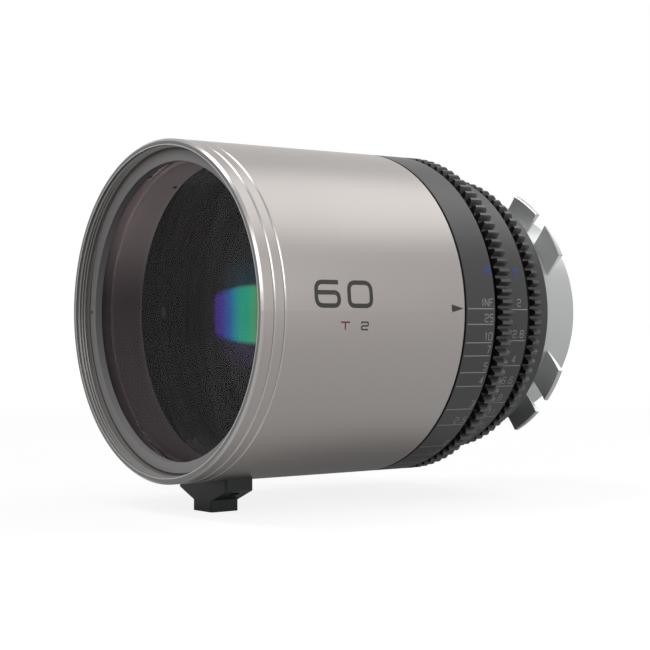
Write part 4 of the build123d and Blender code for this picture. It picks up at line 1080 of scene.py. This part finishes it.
class LENS_OT_glass(bpy.types.Operator):
    """Polish and coat the glass, and paint the coating's reflection on the second glass"""

    bl_idname = "lens.glass"
    bl_label = "Coat the glass"

    def execute(self, context):
        glass = context.scene.lens_glass
        clear = glass_material("coated_glass", glass)
        # The second material carries the coating's painted reflection.
        banded = glass_material("banded_glass", glass, band=True)
        dress(clear, "front_cylinder_element", "second_cylinder_element", "third_cylinder_element",
              "focus_element_front", "focus_element_rear", "rear_element_front", "rear_element_rear")
        self.make_disc("front_glass_disc", "front_cylinder_element", FRONT_GLASS_CURVE, clear, clear)
        self.make_disc("second_glass_disc", "second_cylinder_element", SECOND_GLASS_CURVE, banded, clear)
        return {"FINISHED"}

    def make_disc(self, name, node, curve, front, back):
        """A smooth glass with its front material on the faces before its rim."""
        vertices, faces, front_count = glass_disc(node, curve)
        piece = new_piece(name, vertices, faces, [front, back], "root")
        behind = (np.arange(len(faces)) >= front_count).astype(int)
        piece.data.polygons.foreach_set("material_index", behind)
        piece.data.polygons.foreach_set("use_smooth", [True] * len(faces))
        piece.data.update()
        piece.data.set_sharp_from_angle(angle=math.radians(30))
        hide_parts(node)


class LENS_OT_front_thread(bpy.types.Operator):
    """Cut the accessory thread inside the front rim"""

    bl_idname = "lens.front_thread"
    bl_label = "Cut the front thread"

    def execute(self, context):
        thread = context.scene.lens_thread
        wall = RETAINING_FRONT - FRONT_RIM
        turns = (wall - (THREAD_START + THREAD_END) * thread.pitch) / thread.pitch
        start = FRONT_RIM + THREAD_START * thread.pitch
        vertices, faces = helical_ridge(THREAD_RADIUS, thread.depth, thread.pitch, start, turns)
        metal = thread_metal(context.scene.lens_finish)
        new_piece("front_thread", vertices, faces, [metal], "root")
        return {"FINISHED"}


class LENS_OT_barrel_marks(bpy.types.Operator):
    """Engrave the focal number, the widest stop and the index on the barrel"""

    bl_idname = "lens.barrel_marks"
    bl_label = "Engrave the barrel"

    def execute(self, context):
        marks, finish = context.scene.lens_marks, context.scene.lens_finish
        dark = paint_material("dark_paint", marks.dark_paint, finish)
        red = paint_material("red_paint", marks.red_paint, finish)
        number = MarkMesh(BARREL_RADIUS, marks.paint_height)
        cell = (marks.number_width, marks.number_height)
        number.add_text(marks.focal_number, NUMBER_ANGLE, NUMBER_START, cell, marks.number_stroke)
        number.add_text(marks.stop_number, STOP_ANGLE, STOP_NUMBER_START, STOP_NUMBER_CELL, STOP_STROKE)
        number.build("focal_number", dark, "root")
        letter = MarkMesh(BARREL_RADIUS, marks.paint_height)
        letter.add_text("T", STOP_ANGLE, STOP_LETTER_START, STOP_LETTER_CELL, STOP_STROKE)
        letter.build("stop_letter", red, "root")
        index = MarkMesh(BARREL_RADIUS, marks.paint_height)
        side = np.array([(0, INDEX_HALF_WIDTH), (INDEX_TIP - INDEX_BASE, INDEX_TIP_HALF_WIDTH)])
        index.add_strip(side, side * (1, -1), False, INDEX_ANGLE, INDEX_BASE)
        index.build("index_mark", dark, "root")
        return {"FINISHED"}


class LENS_OT_focus_scale(bpy.types.Operator):
    """Engrave the distance scale on the focus band"""

    bl_idname = "lens.focus_scale"
    bl_label = "Engrave the distance scale"

    def execute(self, context):
        marks, finish = context.scene.lens_marks, context.scene.lens_finish
        pale = paint_material("pale_paint", marks.pale_paint, finish)
        blue = paint_material("blue_paint", marks.blue_paint, finish)
        scale = MarkMesh(BARREL_RADIUS, marks.paint_height)
        scale.add_scale(FOCUS_MARKS, FOCUS_LINE_ENDS, FOCUS_LABEL_END, FOCUS_LABEL_LIFT, "RIGHT", marks)
        scale.build("focus_marks", pale, "focus_ring")
        letter = MarkMesh(BARREL_RADIUS, marks.paint_height)
        letter.add_text("M", FOCUS_LETTER_ANGLE, FOCUS_LABEL_END, FOCUS_LETTER_CELL,
                        FOCUS_LETTER_STROKE, "RIGHT")
        letter.build("focus_unit_letter", blue, "focus_ring")
        return {"FINISHED"}


class LENS_OT_iris_scale(bpy.types.Operator):
    """Engrave the stop scale on the iris band"""

    bl_idname = "lens.iris_scale"
    bl_label = "Engrave the stop scale"

    def execute(self, context):
        marks, finish = context.scene.lens_marks, context.scene.lens_finish
        pale = paint_material("pale_stop_paint", marks.pale_paint, finish)
        blue = paint_material("blue_stop_paint", marks.blue_paint, finish)
        scale = MarkMesh(IRIS_BAND_RADIUS, marks.paint_height)
        scale.add_scale(IRIS_MARKS, IRIS_LINE_ENDS, IRIS_LABEL_MIDDLE, IRIS_LABEL_LIFT, "CENTRE", marks)
        scale.build("iris_marks", pale, "iris_ring")
        letter = MarkMesh(IRIS_BAND_RADIUS, marks.paint_height)
        letter.add_text("T", IRIS_LETTER_ANGLE, IRIS_LABEL_MIDDLE, IRIS_LETTER_CELL,
                        IRIS_LETTER_STROKE, "CENTRE")
        letter.build("stop_scale_letter", blue, "iris_ring")
        return {"FINISHED"}


class LENS_OT_stage(bpy.types.Operator):
    """Set the floor, the lamps, the background and the camera"""

    bl_idname = "lens.stage"
    bl_label = "Set the studio"

    def execute(self, context):
        stage, scene = context.scene.lens_stage, context.scene
        scene.view_settings.view_transform = "Standard"
        middle = Vector((0, (CAD_BOX[0].y + CAD_BOX[1].y) / 2, 0))
        self.set_floor(scene, middle)
        self.set_world(scene, stage)
        for name, offset, size, power in SOFT_BOXES:
            self.set_lamp(scene, name, middle, Vector(offset), size, getattr(stage, power))
        self.set_camera(scene, stage)
        return {"FINISHED"}

    def set_floor(self, scene, middle):
        """A large pale floor that keeps the object's shadow and meets the white background."""
        corners = FLOOR_HALF * np.array([(-1, -1), (1, -1), (1, 1), (-1, 1)])
        vertices = np.column_stack([corners, np.full(len(corners), FOOT_BOTTOM)])
        mesh = bpy.data.meshes.new("floor")
        mesh.from_pydata(vertices.tolist(), [], [(0, 1, 2, 3)])
        floor = bpy.data.objects.new("floor", mesh)
        scene.collection.objects.link(floor)
        material, tree, shader = new_material("pale_floor")
        feed(tree, shader, {
            "Base Color": FLOOR_COLOUR, "Roughness": 0.9, "Specular IOR Level": 0.0,
            "Emission Color": (1, 1, 1, 1), "Emission Strength": self.floor_level(tree, middle)})
        mesh.materials.append(material)

    def floor_level(self, tree, middle):
        """How bright the floor is to the eye: a little grey near the lens and white far from it.

        Metal sees it darker close beside the lens, where the lens itself shades it. The distance
        there is the length of (x, a share of the step along the axis).
        """
        place = object_place(tree)
        near = smooth_step(tree, vector_maths(tree, "LENGTH", place), *FLOOR_GREY_REACH)
        pale = inverse(tree, product(tree, near, FLOOR_GREY))
        from_middle = vector_maths(tree, "SUBTRACT", place, (0, middle.y, 0))
        beside = vector_maths(tree, "MULTIPLY", from_middle, (1, ALONG_SHARE, 0))
        under = smooth_step(tree, vector_maths(tree, "LENGTH", beside), *FLOOR_SHADE_REACH)
        mirrored = add(tree, "ShaderNodeLightPath", {}).outputs["Is Glossy Ray"]
        shaded = inverse(tree, product(tree, under, FLOOR_SHADE, mirrored))
        return product(tree, self.seen_by_eye(tree), product(tree, pale, shaded))

    def seen_by_eye(self, tree):
        """1 for rays that come from the camera, a mirror or a glass, and 0 for the others."""
        path = add(tree, "ShaderNodeLightPath", {}).outputs
        either = maths(tree, "MAXIMUM", path["Is Camera Ray"], path["Is Glossy Ray"])
        return maths(tree, "MAXIMUM", either, path["Is Transmission Ray"])

    def set_world(self, scene, stage):
        """White to the eye, and a soft sky for the light."""
        world = bpy.data.worlds.new("studio")
        world.use_nodes = True
        scene.world = world
        tree = world.node_tree
        seen = self.seen_by_eye(tree)
        sky = product(tree, inverse(tree, seen), stage.sky_level)
        feed(tree, tree.nodes["Background"],
             {"Color": (1, 1, 1, 1), "Strength": maths(tree, "ADD", seen, sky)})

    def set_lamp(self, scene, name, middle, offset, size, power):
        """A soft box that faces the lens."""
        lamp = bpy.data.lights.new(name, "AREA")
        lamp.shape = "RECTANGLE"
        lamp.size, lamp.size_y = size
        lamp.energy = power
        placed = bpy.data.objects.new(name, lamp)
        placed.location = middle + offset
        placed.rotation_euler = (-offset).to_track_quat("-Z", "Y").to_euler()
        scene.collection.objects.link(placed)

    def set_camera(self, scene, stage):
        """The camera stands where the photograph was taken, level, in front and to the right."""
        camera = bpy.data.cameras.new("camera")
        camera.lens = stage.focal_length
        camera.sensor_width = SENSOR_WIDTH
        camera.clip_start, camera.clip_end = CAMERA_REACH
        placed = bpy.data.objects.new("camera", camera)
        view = Vector((-math.sin(CAMERA_AZIMUTH), math.cos(CAMERA_AZIMUTH), -CAMERA_DIP))
        placed.location = Vector(CAMERA_PLACE) * MM
        placed.rotation_euler = view.to_track_quat("-Z", "Y").to_euler()
        scene.collection.objects.link(placed)
        scene.camera = placed


OPERATORS = (
    LENS_OT_metal_finishes, LENS_OT_inner_finishes, LENS_OT_glass, LENS_OT_front_thread,
    LENS_OT_barrel_marks, LENS_OT_focus_scale, LENS_OT_iris_scale, LENS_OT_stage,
)
SETTINGS = (
    ("lens_finish", LensFinishSettings), ("lens_glass", LensGlassSettings),
    ("lens_marks", LensMarkSettings), ("lens_thread", LensThreadSettings),
    ("lens_stage", LensStageSettings),
)


class LENS_PT_panel(bpy.types.Panel):
    """Lists the lens's operators and settings in the sidebar"""

    bl_label = "Cinema Prime Lens"
    bl_idname = "LENS_PT_panel"
    bl_space_type = "VIEW_3D"
    bl_region_type = "UI"
    bl_category = "Lens"

    def draw(self, context):
        for operator in OPERATORS:
            self.layout.operator(operator.bl_idname)
        for name, settings in SETTINGS:
            box = self.layout.box()
            for entry in settings.__annotations__:
                box.prop(getattr(context.scene, name), entry)


def register():
    """Registers the settings, the operators and the panel."""
    for name, settings in SETTINGS:
        bpy.utils.register_class(settings)
        setattr(bpy.types.Scene, name, bpy.props.PointerProperty(type=settings))
    for operator in OPERATORS:
        bpy.utils.register_class(operator)
    bpy.utils.register_class(LENS_PT_panel)


def unregister():
    """Takes them away again."""
    bpy.utils.unregister_class(LENS_PT_panel)
    for operator in reversed(OPERATORS):
        bpy.utils.unregister_class(operator)
    for name, settings in reversed(SETTINGS):
        delattr(bpy.types.Scene, name)
        bpy.utils.unregister_class(settings)


def main():
    """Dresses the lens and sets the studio."""
    register()
    bpy.ops.lens.metal_finishes()
    bpy.ops.lens.inner_finishes()
    bpy.ops.lens.glass()
    bpy.ops.lens.front_thread()
    bpy.ops.lens.barrel_marks()
    bpy.ops.lens.focus_scale()
    bpy.ops.lens.iris_scale()
    bpy.ops.lens.stage()


if __name__ == "__main__":
    main()
